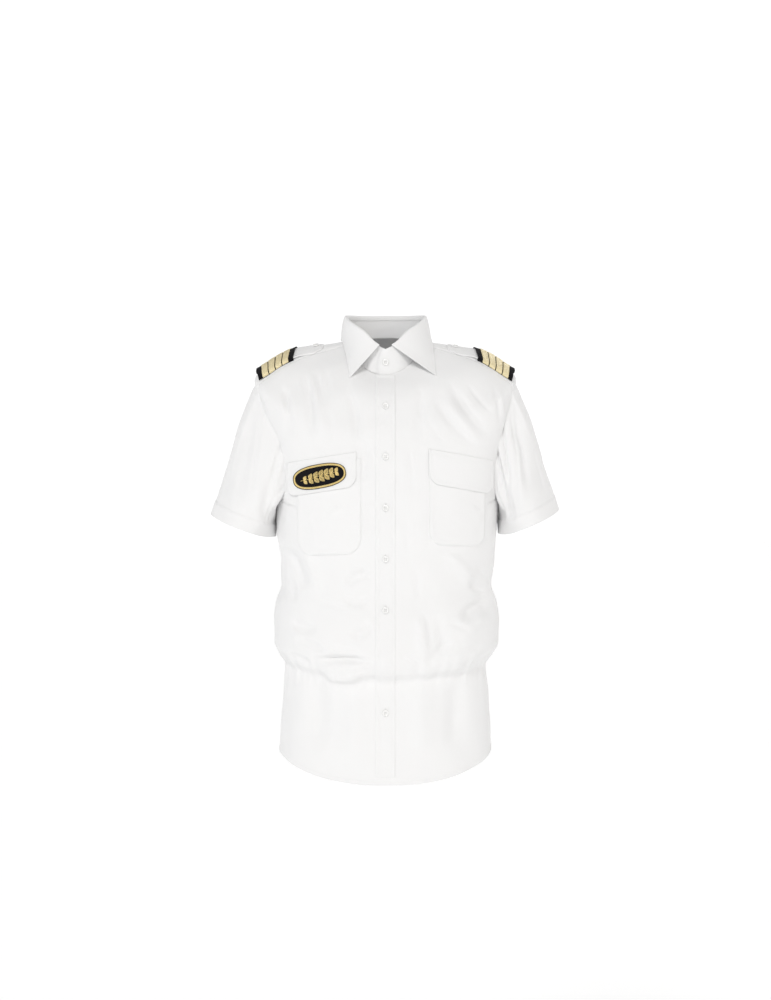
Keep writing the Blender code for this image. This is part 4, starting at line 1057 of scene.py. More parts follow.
def add_stand(rows=16, columns=220):
    turn = np.linspace(STAND_OVERLAP, -360.0 - STAND_OVERLAP, columns)
    seam = plain_body(np.zeros_like(turn), turn)
    top = collar_fold_at(turn_from_front(turn))[..., 0]
    lap = -STAND_LAP_OFFSET * smoothstep((turn + 24.0) / 10.0)
    w = np.linspace(0.0, 1.0, rows)[:, None]
    end = np.minimum(np.abs(turn - turn[0]), np.abs(turn - turn[-1]))
    rounding = 1.0 - 0.5 * np.sqrt(np.clip(1 - (end / 7.0), 0.0, 1.0)) ** 3
    z = (seam[:, 2] + 0.3) * (1 - w) + (seam[:, 2] + (top - seam[:, 2]) * rounding) * w
    every = np.ones_like(w)
    grid = neck_point(turn[None] * every, NECK_RADIUS + lap[None] * every, z)[::-1, ::-1]
    normals = turned_out(grid, grid_normals(grid))
    piece = add_shell("collar_stand", grid, normals, COLLAR_CLOTH * 0.7, WHITE)
    sew_inset("collar", grid, normals, ["bottom"], [2.0])
    return grid


FALL_PROFILE = [
    # share across the leaf, outset from the fold line, height over it
    (0.00, -2.6, -5.0), (0.03, -2.5, -1.0), (0.06, -1.6, 2.0),
    (0.10, 0.6, 3.5), (0.14, 2.9, 2.9), (0.18, 4.2, 1.0),
]
FALL_SIDE = {"right": 77.0, "left": 80.0}
FALL_BACK = 74.0
FALL_SPREAD = 0.85
FALL_FRONT_BLEND = 16.0
FALL_CLEARANCE = 1.4
FALL_ROUND_ROWS = 15
FALL_END_TUCK = 1.2
FALL_END_RISE = 0.5
COLLAR_EDGE_ROLL = 0.7


def fall_edge(surface, name, turn):
    """Turns and radii of the leaf's lower edge: straight seen square on, from tip to side."""
    x, z = FALL_TIPS[name]
    tip = spot_from_front(surface, x, z)
    tip_turn = math.degrees(math.atan2(abs(x), -tip[1]))
    side_x = FALL_SIDE[name]
    ahead = np.clip((turn(tip_turn) - tip_turn) / (90.0 - tip_turn), 0.0, 1.0)
    width = abs(x) + (side_x - abs(x)) * ahead**0.9
    around = turn(tip_turn)
    front = width / np.sin(np.radians(np.clip(around, 1.0, 90.0)))
    back = side_x + (FALL_BACK - side_x) * smoothstep((around - 90.0) / 90.0)
    return around, np.where(around < 90.0, front, back)


def add_fall(surface, rows=66, columns=260):
    """The turned-down leaf: from inside the stand, over the fold line, and down to the shirt."""
    s = np.linspace(-1.0, 1.0, columns)
    spread = (1 - np.abs(s)) ** FALL_SPREAD
    side = np.where(s < 0, 1.0, -1.0)
    fold_turn = FALL_START + (180.0 - FALL_START) * spread
    edge_turn = np.zeros(columns)
    edge_r = np.zeros(columns)
    for name, half in (("left", s < 0), ("right", s >= 0)):
        around, radius = fall_edge(surface, name, lambda tip: tip + (180.0 - tip) * spread)
        edge_turn[half] = around[half]
        edge_r[half] = radius[half]
    neck = neck_point(side * fold_turn, NECK_RADIUS, 0.0)
    inner_r = np.linalg.norm(neck[:, :2], axis=1)
    fold_way = neck[:, :2] / inner_r[:, None]
    edge_neck = neck_point(side * edge_turn, NECK_RADIUS, 0.0)[:, :2]
    edge_xy = edge_neck / np.linalg.norm(edge_neck, axis=1)[:, None] * edge_r[:, None]
    edge = lay_from_above(surface, edge_xy[:, 0], edge_xy[:, 1])
    edge[:, 2] += COLLAR_CLOTH + FALL_REST
    fold_z = collar_fold_at(fold_turn)[:, 0] + COLLAR_CLOTH
    profile = smooth_curve(FALL_PROFILE)
    last = FALL_PROFILE[-1][0]
    shares = np.linspace(0.0, last, FALL_ROUND_ROWS, endpoint=False)
    shares = np.concatenate([shares, np.linspace(last, 1.0, rows - FALL_ROUND_ROWS)])
    whole = smoothstep((fold_turn - FALL_START) / FALL_FRONT_BLEND)
    grid = np.zeros((rows, columns, 3))
    start = np.zeros((columns, 3))
    start[:, :2] = fold_way * (inner_r + FALL_OUTSET)[:, None]
    start[:, 2] = fold_z + FALL_SHOULDER
    for k, w in enumerate(shares):
        outset, rise = profile(min(w, last))
        if w < last:
            end_outset = FALL_OUTSET - FALL_END_TUCK * (1 - w / last)
            end_rise = FALL_SHOULDER + FALL_END_RISE * (1 - w / last)
            outset = outset * whole + (1 - whole) * end_outset
            rise = rise * whole + (1 - whole) * end_rise
            grid[k, :, :2] = fold_way * (inner_r + outset)[:, None]
            grid[k, :, 2] = fold_z + rise
            continue
        v = (w - last) / (1 - last)
        grid[k] = start * (1 - v) + edge * v
        way = grid[k, :, :2] / np.linalg.norm(grid[k, :, :2], axis=1)[:, None]
        roll = FALL_ROLL * math.sin(math.pi * v) * (1 - 0.4 * v)
        grid[k, :, :2] += way * (roll * (0.35 + 0.65 * whole))[:, None]
        below = lay_from_above(surface, grid[k, :, 0], grid[k, :, 1])[:, 2]
        grid[k, :, 2] = np.maximum(grid[k, :, 2], below + FALL_CLEARANCE + COLLAR_CLOTH * 0.5)
    normals = turned_out(grid, grid_normals(grid))
    left, right, _, bottom = edge_runs(grid)
    gap = np.minimum(np.minimum(left, right), bottom)
    relief = groove(gap, 3.0, -0.25, 2.4) + groove(gap, EDGE_ROW, 0.35, 0.8)
    relief += groove(gap, 0.0, COLLAR_EDGE_ROLL, 0.7)
    grid = grid + normals * relief[..., None]
    piece = add_shell("collar_fall", grid, normals, COLLAR_CLOTH * 0.8, WHITE)
    sew_inset("collar", grid[14:-6], normals[14:-6], ["left", "right"], [EDGE_ROW])
    sew_inset("collar", grid[:, 8:-8], normals[:, 8:-8], ["bottom"], [EDGE_ROW])


# Pieces laid on the fronts
EDGE_LINES = (0.0, 0.3, 0.8, 1.5)


def edged(count, length, near=EDGE_LINES):
    """Shares from 0 to 1 with extra lines close to both ends."""
    close = np.array(near) / length
    middle = np.linspace(close[-1], 1 - close[-1], count)[1:-1]
    return np.concatenate([close, middle, (1 - close)[::-1]])


def corner_rows(corner, depth, count):
    """Shares up from a rounded bottom edge, close together round the corners."""
    close = np.array(EDGE_LINES) / depth
    low = (1 - np.cos(np.linspace(0.0, math.pi / 2, 14))) * corner / depth
    low = np.unique(np.concatenate([close, low[low > close[-1] * 1.2]]))
    high = np.linspace(low[-1], 1.0, count)[1:]
    return np.sort(np.concatenate([low, high, 1 - close[1:]]))


def laid_outline(inner_x, outer_x, depth, corner, rows, columns):
    """X of a grid with rounded lower corners, and each row's share up its depth."""
    half = abs(outer_x - inner_x) / 2
    t = corner_rows(corner, depth, rows)[::-1, None]
    d = np.clip((corner - t * depth) / corner, 0.0, 1.0)
    width = half - corner * (1 - np.sqrt(1 - d * d * 0.98))
    x = (inner_x + outer_x) / 2 + width * (2 * edged(columns, 2 * half)[None] - 1)
    return x, np.broadcast_to(t, x.shape)


def drawn_in(inner_x, outer_x, inset):
    way = math.copysign(inset, outer_x - inner_x)
    return inner_x + way, outer_x - way


def pocket_outline(row, inset=0.0, rows=40, columns=44):
    """The pocket seen square on: x, z and share up of a grid, with its edges drawn in by inset."""
    _, inner_x, outer_x, top_z, tilt, bottom_z, corner = row
    depth = top_z - bottom_z - inset
    ends = drawn_in(inner_x, outer_x, inset)
    x, t = laid_outline(*ends, depth, corner - inset * 0.5, rows, columns)
    lean = tilt * (np.abs(x) - abs(inner_x + outer_x) / 2) * (0.4 + 0.6 * t)
    return x, bottom_z + inset + depth * t + lean, t


def flap_outline(row, inset=0.0, rows=24, columns=50):
    _, inner_x, outer_x, inner_top, outer_top, drop, corner = row
    depth = drop - inset
    ends = drawn_in(inner_x, outer_x, inset)
    x, t = laid_outline(*ends, depth, corner - inset * 0.5, rows, columns)
    top = inner_top + (outer_top - inner_top) * (x - inner_x) / (outer_x - inner_x)
    return x, top - depth * (1 - t), t


def edge_gap(x, z):
    """Distance of each point of a flat grid to the grid's outline."""
    points = np.stack([x, z], axis=-1)
    line = np.concatenate([points[0], points[:, -1], points[-1], points[:, 0]])
    apart = np.linalg.norm(points.reshape(-1, 1, 2) - line[None], axis=-1)
    return apart.min(axis=1).reshape(x.shape)


def u_line(x, z):
    """Down the left side, along the bottom and up the right side of an outline."""
    return [np.concatenate([v[:-1, 0], v[-1], v[::-1, -1][1:]]) for v in (x, z)]


def rounded_edge(gap, thick, radius=1.0):
    """Height of a layer that curves down to its base at its edge."""
    k = np.clip(gap / radius, 0.0, 1.0)
    return thick * np.sqrt(1 - (1 - k) ** 2)


def add_layer(name, base, normals, low, high, material):
    """A layer between two heights over the base points."""
    outer = base + normals * np.asarray(high)[..., None]
    piece = add_shell(name, outer, normals, np.asarray(high) - np.asarray(low), material)
    return piece, outer


POCKET_CREASES = [
    # side  x0  z0  x1  z1  bow  width  depth
    ("right", -128, -296, -96, -316, 5, 8, -1.6),
    ("right", -96, -300, -66, -280, 4, 9, 1.4),
    ("right", -70, -288, -52, -332, -4, 8, -1.4),
    ("right", -136, -300, -130, -344, 3, 7, -1.2),
    ("left", 88, -262, 96, -330, -4, 10, -1.2),
    ("left", 128, -256, 160, -290, 5, 8, -1.8),
    ("left", 140, -268, 158, -312, 4, 9, 1.3),
    ("left", 104, -296, 140, -328, -4, 10, -1.0),
]


POCKET_ROLL = 0.9
POCKET_ROW = 1.8
FLAP_ROWS = (1.6, EDGE_ROW)
FLAP_LIFT = 1.0
FLAP_CURL = 0.6
PLACKET_PUCKER = 0.16
PLACKET_PUCKER_PITCH = 13.0
FIT_SCALE = 50.0


def lay_both(full, soft, x, z):
    """Points on the outermost of the creased and the smooth front."""
    a = lay_from_front(full, x, z)
    b = lay_from_front(soft, x, z)
    return np.where((a[..., 1] < b[..., 1])[..., None], a, b)


def down_to_cloth(surface, base):
    """Depth of the cloth behind each base point, so that a laid piece has no gap at its edges."""
    cloth = lay_from_front(surface, base[..., 0], base[..., 2])
    return 0.1 - np.maximum(cloth[..., 1] - base[..., 1], 0.0)


def softened(values, rounds):
    """A grid of numbers, each drawn towards its four neighbours round after round."""
    for _ in range(rounds):
        padded = np.pad(values, 1, mode="edge")
        beside = padded[:-2, 1:-1] + padded[2:, 1:-1] + padded[1:-1, :-2] + padded[1:-1, 2:]
        values = (beside + 4 * values) / 8
    return values


def smoothed(grid, rounds=6):
    """The grid evened out along y, without sinking into the cloth."""
    result = grid.copy()
    result[..., 1] = np.minimum(softened(grid[..., 1], rounds), grid[..., 1])
    return result


def evened(normals, x, z):
    """Normals that vary smoothly over a laid piece: a quadratic fit of those of the cloth."""
    u = (x - x.mean()) / FIT_SCALE
    v = (z - z.mean()) / FIT_SCALE
    terms = np.stack([np.ones_like(u), u, v, u * u, u * v, v * v], axis=-1).reshape(-1, 6)
    fit = np.linalg.lstsq(terms, normals.reshape(-1, 3), rcond=None)[0]
    return unit((terms @ fit).reshape(normals.shape))


def seat_of(outline, row, fronts, soft):
    """X, share up, seat on the cloth, normals and distance to the edge of a piece laid on it."""
    x, z, t = outline(row)
    base = smoothed(lay_both(fronts, soft, x, z))
    return x, t, base, evened(facing(base, (0, -1, 0)), x, z), edge_gap(x, z)


def sew_outline(face, outline, row, inset, way):
    """A row of stitches inside the sides and the bottom of a laid piece."""
    x, z, _ = outline(row, inset)
    line = lay_from_front(face, *u_line(x, z))
    sew("pockets", np.concatenate([line, np.tile(way, (len(line), 1))], axis=-1))


def add_pocket(row, fronts, soft):
    """A patch pocket with its own small creases, fuller inside its stitched edge."""
    name, inner_x, outer_x, top_z, _, bottom_z, _ = row
    _, t, base, n, gap = seat_of(pocket_outline, row, fronts, soft)
    creases = [("front", *crease[1:]) for crease in POCKET_CREASES if crease[0] == name]
    height = 0.25 + rounded_edge(gap, 0.9) + groove(gap, 2.0, 0.3, 0.7)
    height += np.maximum(fold_height(base, creases), -0.6) * smoothstep(gap / 12.0)
    roll = smoothstep(gap / 2.5) * np.exp(-(((gap - 3.5) / 4.5) ** 2))
    height += POCKET_ROLL * (1.2 - t) * roll
    low = down_to_cloth(fronts, base)
    piece, face = add_layer("pocket_" + name, base, n, low, height, WHITE)
    sew_outline(surface_of([face]), pocket_outline, row, POCKET_ROW, n.mean(axis=(0, 1)))


def add_flap(row, fronts, soft):
    """The pocket's flap, its free end lifted and its corners curled a little."""
    name, inner_x, outer_x, _, _, drop, _ = row
    x, t, base, n, gap = seat_of(flap_outline, row, fronts, soft)
    fall = (1 - t) * drop
    aside = np.abs(2 * (x - x.min()) / (x.max() - x.min()) - 1)
    low = 0.3 + FLAP_LIFT * smoothstep(fall / 14.0) + 0.5 * (1 - t) ** 2
    low += FLAP_CURL * smoothstep((fall - 30.0) / 26.0) * aside**3
    high = low + 0.1 + rounded_edge(gap, 1.2) + groove(gap, EDGE_ROW, 0.35, 0.8)
    piece, face = add_layer("pocket_flap_" + name, base, n, low, high, WHITE)
    surface = surface_of([face])
    for inset in FLAP_ROWS:
        sew_outline(surface, flap_outline, row, inset, n.mean(axis=(0, 1)))
    return surface


def add_placket(fronts, soft, rows=260):
    half = PLACKET_WIDTH / 2
    across = (2 * edged(22, PLACKET_WIDTH) - 1) * half
    x, z = np.meshgrid(across, np.linspace(PLACKET_TOP, PLACKET_BOTTOM, rows))
    base = smoothed(lay_both(fronts, soft, x, z), 10)
    n = facing(base, (0, -1, 0.3))
    gap = half - np.abs(x)
    pucker = PLACKET_PUCKER * np.sin(2 * math.pi * np.abs(z) / PLACKET_PUCKER_PITCH)
    height = 0.3 + rounded_edge(gap, 0.9) + groove(gap, EDGE_ROW, 0.35, 0.8)
    height += pucker * np.exp(-(((gap - EDGE_ROW) / 3.0) ** 2))
    piece, face = add_layer("placket", base, n, down_to_cloth(fronts, base), height, WHITE)
    sew_inset("placket", face, n, ["left", "right"], [EDGE_ROW])
    return surface_of([face])


# Buttons and buttonholes
BUTTON_PROFILE = [
    # radius, height
    (0.0, 1.35), (2.9, 1.35), (3.5, 1.55), (4.0, 2.05), (4.6, 2.25), (5.2, 2.05),
    (5.5, 1.5), (5.5, 0.9), (5.1, 0.35), (4.2, 0.05), (0.0, 0.0),
]
BUTTON_HOLE_RADIUS = 0.75
BUTTON_HOLE_OFFSET = 1.35
BUTTON_SIDES = 40
THREAD_LEVEL = 1.45


def lathe(profile, sides):
    """Closed turned shape: a point on the axis at each end of the profile."""
    vertices = [(0.0, 0.0, profile[0][1])]
    for r, h in profile[1:-1]:
        for j in range(sides):
            a = 2 * math.pi * j / sides
            vertices.append((r * math.cos(a), r * math.sin(a), h))
    vertices.append((0.0, 0.0, profile[-1][1]))
    faces = []
    last = len(vertices) - 1
    rings = len(profile) - 2
    for j in range(sides):
        k = (j + 1) % sides
        faces.append((0, 1 + j, 1 + k))
        for r in range(rings - 1):
            a = 1 + r * sides
            faces.append((a + j, a + sides + j, a + sides + k, a + k))
        a = 1 + (rings - 1) * sides
        faces.append((a + k, a + j, last))
    return vertices, faces


def hole_cutter(middle_x, middle_y, sides=14):
    """A rod through the button where one of its holes is."""
    turns = np.linspace(0, 2 * math.pi, sides, endpoint=False)
    x = middle_x + BUTTON_HOLE_RADIUS * np.cos(turns)
    y = middle_y + BUTTON_HOLE_RADIUS * np.sin(turns)
    vertices = [(*spot, z) for z in (-1.0, 4.0) for spot in zip(x, y)]
    faces = [(j, (j + 1) % sides, sides + (j + 1) % sides, sides + j) for j in range(sides)]
    faces += [tuple(range(sides))[::-1], tuple(range(sides, 2 * sides))]
    return add_mesh("hole", vertices, faces, PEARL)


def button_mesh():
    vertices, faces = lathe(BUTTON_PROFILE, BUTTON_SIDES)
    disc = add_mesh("button_shape", vertices, faces, PEARL, sharp=35.0)
    places = (-BUTTON_HOLE_OFFSET, BUTTON_HOLE_OFFSET)
    cutters = [hole_cutter(x, y) for x in places for y in places]
    for cutter in cutters:
        cut = disc.modifiers.new("hole", "BOOLEAN")
        cut.operation = "DIFFERENCE"
        cut.object = cutter
    bpy.context.view_layer.update()
    graph = bpy.context.evaluated_depsgraph_get()
    mesh = bpy.data.meshes.new_from_object(disc.evaluated_get(graph))
    mesh.materials.clear()
    mesh.materials.append(PEARL)
    for thing in [disc, *cutters]:
        bpy.data.objects.remove(thing, do_unlink=True)
    return mesh


BUTTON = button_mesh()
BUTTON_THREADS = []


def add_button(name, spot, normal, seat=0.35):
    n = unit(np.array(normal, dtype=float))
    across = unit(np.cross([0.0, 0.0, 1.0] if abs(n[2]) < 0.9 else [0.0, -1.0, 0.0], n))
    up = np.cross(n, across)
    thing = placed(name + "_pearl", BUTTON)
    origin = np.array(spot) + n * seat
    matrix = np.eye(4)
    matrix[:3, 0], matrix[:3, 1], matrix[:3, 2], matrix[:3, 3] = across, up, n, origin * MM
    thing.matrix_world = Matrix(matrix.tolist())
    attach(thing, "root")
    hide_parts(name)
    length = 2 * BUTTON_HOLE_OFFSET + 1.1
    for hole in (-BUTTON_HOLE_OFFSET, BUTTON_HOLE_OFFSET):
        for shift in (-0.22, 0.22):
            middle = origin + across * (hole + shift) + n * THREAD_LEVEL
            BUTTON_THREADS.append((middle, up, n, length, 0.5))


def buttonhole(surface, x, z, upright=True, length=15.0):
    """Dense cross stitches either side of a slit, with a bar at each end."""
    half = length / 2
    stitches = [(aside, k, 1.35, 0.5) for k in np.arange(-half, half + 0.01, 0.55)
                for aside in (-0.85, 0.85)]
    stitches += [(0.0, end, 3.2, 0.7) for end in (-half - 0.4, half + 0.4)]
    way = (1.0, 0.0, 0.0) if upright else (0.0, 0.0, 1.0)
    made = []
    for aside, along, width, thick in stitches:
        dx, dz = (aside, along) if upright else (along, aside)
        spot = spot_from_front(surface, x + dx, z + dz)
        made.append((spot, way, (0.0, -1.0, 0.1), width, thick))
    return made


def add_front_buttons(placket, stand):
    for k, level in enumerate(BUTTON_Z):
        x, z = np.meshgrid([-4.0, 0.0, 4.0], [level + 4.0, level, level - 4.0])
        spot = lay_from_front(placket, x, z)
        n = facing(spot, (0, -1, 0.3)).mean(axis=(0, 1))
        add_button("button_%d" % (k + 1), spot.mean(axis=(0, 1)), n)
        SEWN["placket"].extend(buttonhole(placket, 0.0, level))
    low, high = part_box("button_collar")
    level = (low[2] + high[2]) / 2 / MM
    surface = surface_of([stand])
    add_button("button_collar", spot_from_front(surface, 0.0, level), (0.0, -1.0, 0.0))
    SEWN["collar"].extend(buttonhole(surface, 0.0, level, upright=False, length=13.0))


# Shoulder straps, slides and braid
def strap_points(surface, side, stops, columns, margin):
    """Points on the shoulder under a strap, with stops as distances from the neck's middle."""
    share = edged(columns, STRAP_BACK_Y - STRAP_FRONT_Y)[None]
    if stops.ndim == 2:
        stops = stops[:, :1] * (1 - share) + stops[:, 1:] * share
    else:
        stops = stops[:, None] * np.ones_like(share)
    middle = (STRAP_FRONT_Y + STRAP_BACK_Y) / 2
    half = (STRAP_BACK_Y - STRAP_FRONT_Y) / 2
    along = smoothstep((stops - STRAP_INNER_X) / 90.0)
    width = half * (STRAP_NARROW + (1 - STRAP_NARROW) * along)
    tip = np.clip((stops - STRAP_INNER_X) / STRAP_POINT, 0.0, 1.0)
    width = width * (STRAP_TIP + (1 - STRAP_TIP) * np.sqrt(tip)) + margin
    y = middle + width * (2 * share - 1)
    base = lay_from_above(surface, side * stops, y)
    base[..., 2] = np.maximum(softened(base[..., 2], 8), base[..., 2])
    return base, width[:, 0]


def straightened(base, lift):
    """The points bridged by a straight board from the first row to the last one, lifted."""
    along = np.abs(base[..., 0] - base[:1, :, 0])
    along = along / along[-1:]
    line = base[:1, :, 2] * (1 - along) + (base[-1:, :, 2] + lift) * along
    over = line - base[..., 2]
    result = base.copy()
    result[..., 2] += 0.5 * (over + np.sqrt(over**2 + SLIDE_BLEND**2))
    return result


def shoulder_way(side):
    return (side * 0.3, 0.0, 1.0)


def from_middle(base):
    """Distances to the middle of each row along y."""
    return np.abs(base[..., 1] - base[..., 1].mean(axis=1, keepdims=True))


def add_strap(name, surface):
    """A shoulder strap, rising where it goes into the slide."""
    side = SIDES[name]
    point = STRAP_INNER_X + STRAP_POINT * (1 - np.cos(np.linspace(0, math.pi / 2, 14)))
    stops = np.concatenate([point, np.linspace(point[-1], SLIDE_OUTER[0] - 4.0, 60)[1:]])
    base, width = strap_points(surface, side, stops, 26, 0.0)
    n = facing(base, shoulder_way(side))
    gap = np.minimum(width[:, None] - from_middle(base), (stops - STRAP_INNER_X)[:, None] + 0.01)
    rise = STRAP_RISE * smoothstep((stops - SLIDE_INNER[0] + 26.0) / 22.0)[:, None]
    low = np.broadcast_to(0.4 + rise, gap.shape)
    high = low + 0.15 + rounded_edge(np.maximum(gap, 0.0), 1.3) + groove(gap, EDGE_ROW, 0.4, 0.8)
    piece, face = add_layer("shoulder_strap_" + name, base, n, low, high, WHITE)
    seen = int(np.sum(stops < SLIDE_INNER[1] + 4.0))
    sew_inset("straps", face[4:seen], n[4:seen], ["left", "right"], [EDGE_ROW])
    sew_inset("straps", face[:, 9:-9], n[:, 9:-9], ["top"], [EDGE_ROW])
    return surface_of([face])


def add_strap_button(name, strap):
    side = SIDES[name]
    stops = side * (STRAP_INNER_X + np.array([10.0, 16.0]))
    x, y = np.meshgrid(stops, [-16.0, -10.0], indexing="ij")
    spot = lay_from_above(strap, x, y)
    way = facing(spot, shoulder_way(side)).mean(axis=(0, 1))
    add_button("strap_button_" + name, spot.mean(axis=(0, 1)), way)


def add_felt(name, node_name, outer, inner):
    """A closed felt piece between an outer and an inner grid."""
    vertices = np.concatenate([outer.reshape(-1, 3), inner.reshape(-1, 3)])
    faces = facing_out(vertices, wall_faces(*outer.shape[:2], True))
    piece = add_mesh(name, vertices, faces, FELT)
    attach(piece, "root")
    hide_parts(node_name)
    return piece


def add_slide(name, surface):
    """The felt tube round the strap; returns its top face, with the normals, for the bars."""
    side = SIDES[name]
    u = np.linspace(0.0, 1.0, 46)[:, None]
    stops = np.array(SLIDE_INNER)[None] * (1 - u) + np.array(SLIDE_OUTER)[None] * u
    base, width = strap_points(surface, side, stops, 40, SLIDE_MARGIN)
    base = straightened(base, SLIDE_LIFT)
    n = facing(base, shoulder_way(side))
    swell = np.sqrt(np.clip(1 - (from_middle(base) / width[:, None]) ** 14, 0.0, 1.0))
    loops = []
    for bottom, rise in (SLIDE_OUTSIDE, SLIDE_INSIDE):
        top = base + n * (0.5 + rise * swell)[..., None]
        loops.append(np.concatenate([top, (base + n * bottom)[:, ::-1]], axis=1))
    outer, inner = loops
    centre = outer.mean(axis=1, keepdims=True)
    inner = centre + (inner - centre) * np.array([1.0, SLIDE_INSIDE_WIDTH, 1.0])
    piece = add_felt("rank_slide_%s_felt" % name, "rank_slide_" + name, outer, inner)
    return outer[:, : base.shape[1]], n


def add_bars(name, top, normals, columns=110):
    """Gold lace bars wrapped over the slide's face, with a ribbed weave and picot edges."""
    rows_at = np.linspace(0.0, 1.0, len(top))
    across = np.linspace(0.0, 1.0, columns)
    source = np.linspace(0.0, 1.0, top.shape[1])

    def columned(grid):
        tables = np.moveaxis(grid, -1, 0)
        return [np.array([np.interp(across, source, row) for row in table]) for table in tables]

    def row_at(tables, at):
        every = range(columns)
        return np.array([[np.interp(at[j], rows_at, t[:, j]) for t in tables] for j in every])

    points, ways = columned(top), columned(normals)
    picot = 0.22 * np.sin(across * 2 * math.pi * BAR_PICOTS)
    for k in range(BAR_COUNT):
        places = []
        for w in edged(22, BAR_WIDTH, (0.0, 0.35, 0.9)):
            edge = picot * (w - 0.5) * 2 * (abs(w - 0.5) > 0.46)
            places.append((BAR_FIRST + k * BAR_PITCH + w * BAR_WIDTH + edge) / SLIDE_LENGTH)
        grid = np.array([row_at(points, at) for at in places])
        n = unit(np.array([row_at(ways, at) for at in places]))
        left, right, up, down = edge_runs(grid)
        gap = np.minimum(np.minimum(left, right), np.minimum(up, down))
        turns = 2 * math.pi / BAR_RIB_PITCH
        rib = 0.10 * np.sin(turns * (left + up * 1.2)) * np.sin(turns * (left - up * 1.2))
        high = 0.2 + rounded_edge(gap, 0.75, 0.7) + rib * smoothstep(gap / 1.4)
        bar = "rank_bar_%s_%d" % (name, k + 1)
        piece, _ = add_layer(bar, grid, n, np.full_like(high, 0.12), high, BRAID)


# The patch on the right flap
BADGE_SQUARE = 0.8
BADGE_FELT = (0.5, 0.7)
CORD_INSET = 2.6
CORD_PITCH = 0.62
SPRIG_LEAVES = 7
SPRIG_LEAF = (11.0, 3.9)
SPRIG_LEAF_LEAN = 52.0
SPRIG_HALF = 32.0
SPRIG_ROOTS = 27.0
SPRIG_STEM_BOW = 2.34
SPRIG_TAPER = 0.34


def badge_xz(u, v):
    """Seen square on: from the patch's own axes, in mm, to the shirt's."""
    tilt = math.radians(BADGE_TILT)
    x = BADGE_CENTRE[0] + u * math.cos(tilt) - v * math.sin(tilt)
    z = BADGE_CENTRE[1] + u * math.sin(tilt) + v * math.cos(tilt)
    return x, z


def badge_oval(inset, count, whole):
    """Points round the patch, squarer than an ellipse; whole ends where it starts."""
    t = np.linspace(0.0, 2 * math.pi, count, endpoint=whole)
    halves = np.array(BADGE_HALF) - inset
    around = np.stack([np.cos(t), np.sin(t)], axis=-1)
    return halves * np.sign(around) * np.abs(around) ** BADGE_SQUARE


def add_badge_ground(flap_face):
    """The patch's felt; returns a way to lay points on it, and its normal."""
    inset = np.array([0.0, 0.25, 0.6, 1.1])
    shares = np.concatenate([1 - inset / BADGE_HALF[1], np.linspace(0.92, 0.02, 16)])[:, None]
    u, v = badge_oval(0.0, 120, False).T
    x, z = badge_xz(u * shares, v * shares)
    base = lay_from_front(flap_face, x, z)
    way = unit(facing(base[:4], (0, -1, 0)).mean(axis=(0, 1)))
    low, high = BADGE_FELT
    high = high + rounded_edge((1 - shares) * BADGE_HALF[1], 1.3)
    outer = base + way * high[..., None]
    add_felt("badge_ground_felt", "badge_ground", outer, base + way * low)
    face = surface_of([np.concatenate([outer, outer[:, :1]], axis=1)])

    def on_felt(places):
        return lay_from_front(face, *badge_xz(*np.atleast_2d(places).T))

    return on_felt, way


def add_badge_rim(on_felt, way):
    """A twisted cord round the patch, as slanting stitches."""
    line = badge_oval(CORD_INSET, 2000, True)
    marks = np.arange(0.0, run_of(line)[-1], CORD_PITCH)
    stitches = []
    spots = on_felt(resample(line, marks))
    for spot, ahead in zip(spots, on_felt(resample(line, marks + 0.3))):
        out = unit(np.cross(ahead - spot, way))
        stitches.append((spot, out + 0.2 * unit(ahead - spot), way, 3.4, 0.78))
    piece = stitch_mesh("badge_rim_thread", stitches, GOLD_THREAD)
    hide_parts("badge_rim")


def satin_leaf(on_felt, way, root, side, scale):
    """A pointed leaf of slanting satin stitches either side of its midrib."""
    length, half = np.array(SPRIG_LEAF) * scale
    lean = math.radians(SPRIG_LEAF_LEAN) * side
    along = np.array([math.cos(lean), math.sin(lean)])
    aside = np.array([-along[1], along[0]])
    made = []
    for f in np.linspace(0.06, 0.96, 13):
        width = half * math.sin(math.pi * f**0.8) + 0.3
        start = root + along * f * length
        for wing in (-1, 1):
            end = start + aside * wing * width + along * 1.2
            a, b, spot = on_felt([start, end, (start + end) / 2])
            made.append((spot, b - a, way, float(np.linalg.norm(b - a)) + 0.4, 0.72))
    return made


def sprig_bow(u):
    return np.stack([u, SPRIG_STEM_BOW * np.sin(u / SPRIG_HALF * math.pi / 2)], axis=-1)


def add_badge_sprig(on_felt, way):
    """A plain sprig: a bowed stem with pairs of leaves, smaller towards its ends."""
    stem = on_felt(sprig_bow(np.linspace(-SPRIG_HALF, SPRIG_HALF, 60)))
    stitches = [((a + b) / 2, b - a, way, 1.9, 0.9) for a, b in zip(stem[:-1], stem[1:])]
    for root in sprig_bow(np.linspace(-SPRIG_ROOTS, SPRIG_ROOTS, SPRIG_LEAVES)):
        scale = 1 - SPRIG_TAPER * (root[0] / SPRIG_ROOTS) ** 2
        for side in (1, -1):
            stitches.extend(satin_leaf(on_felt, way, root, side, scale))
    piece = stitch_mesh("badge_sprig_thread", stitches, GOLD_THREAD)


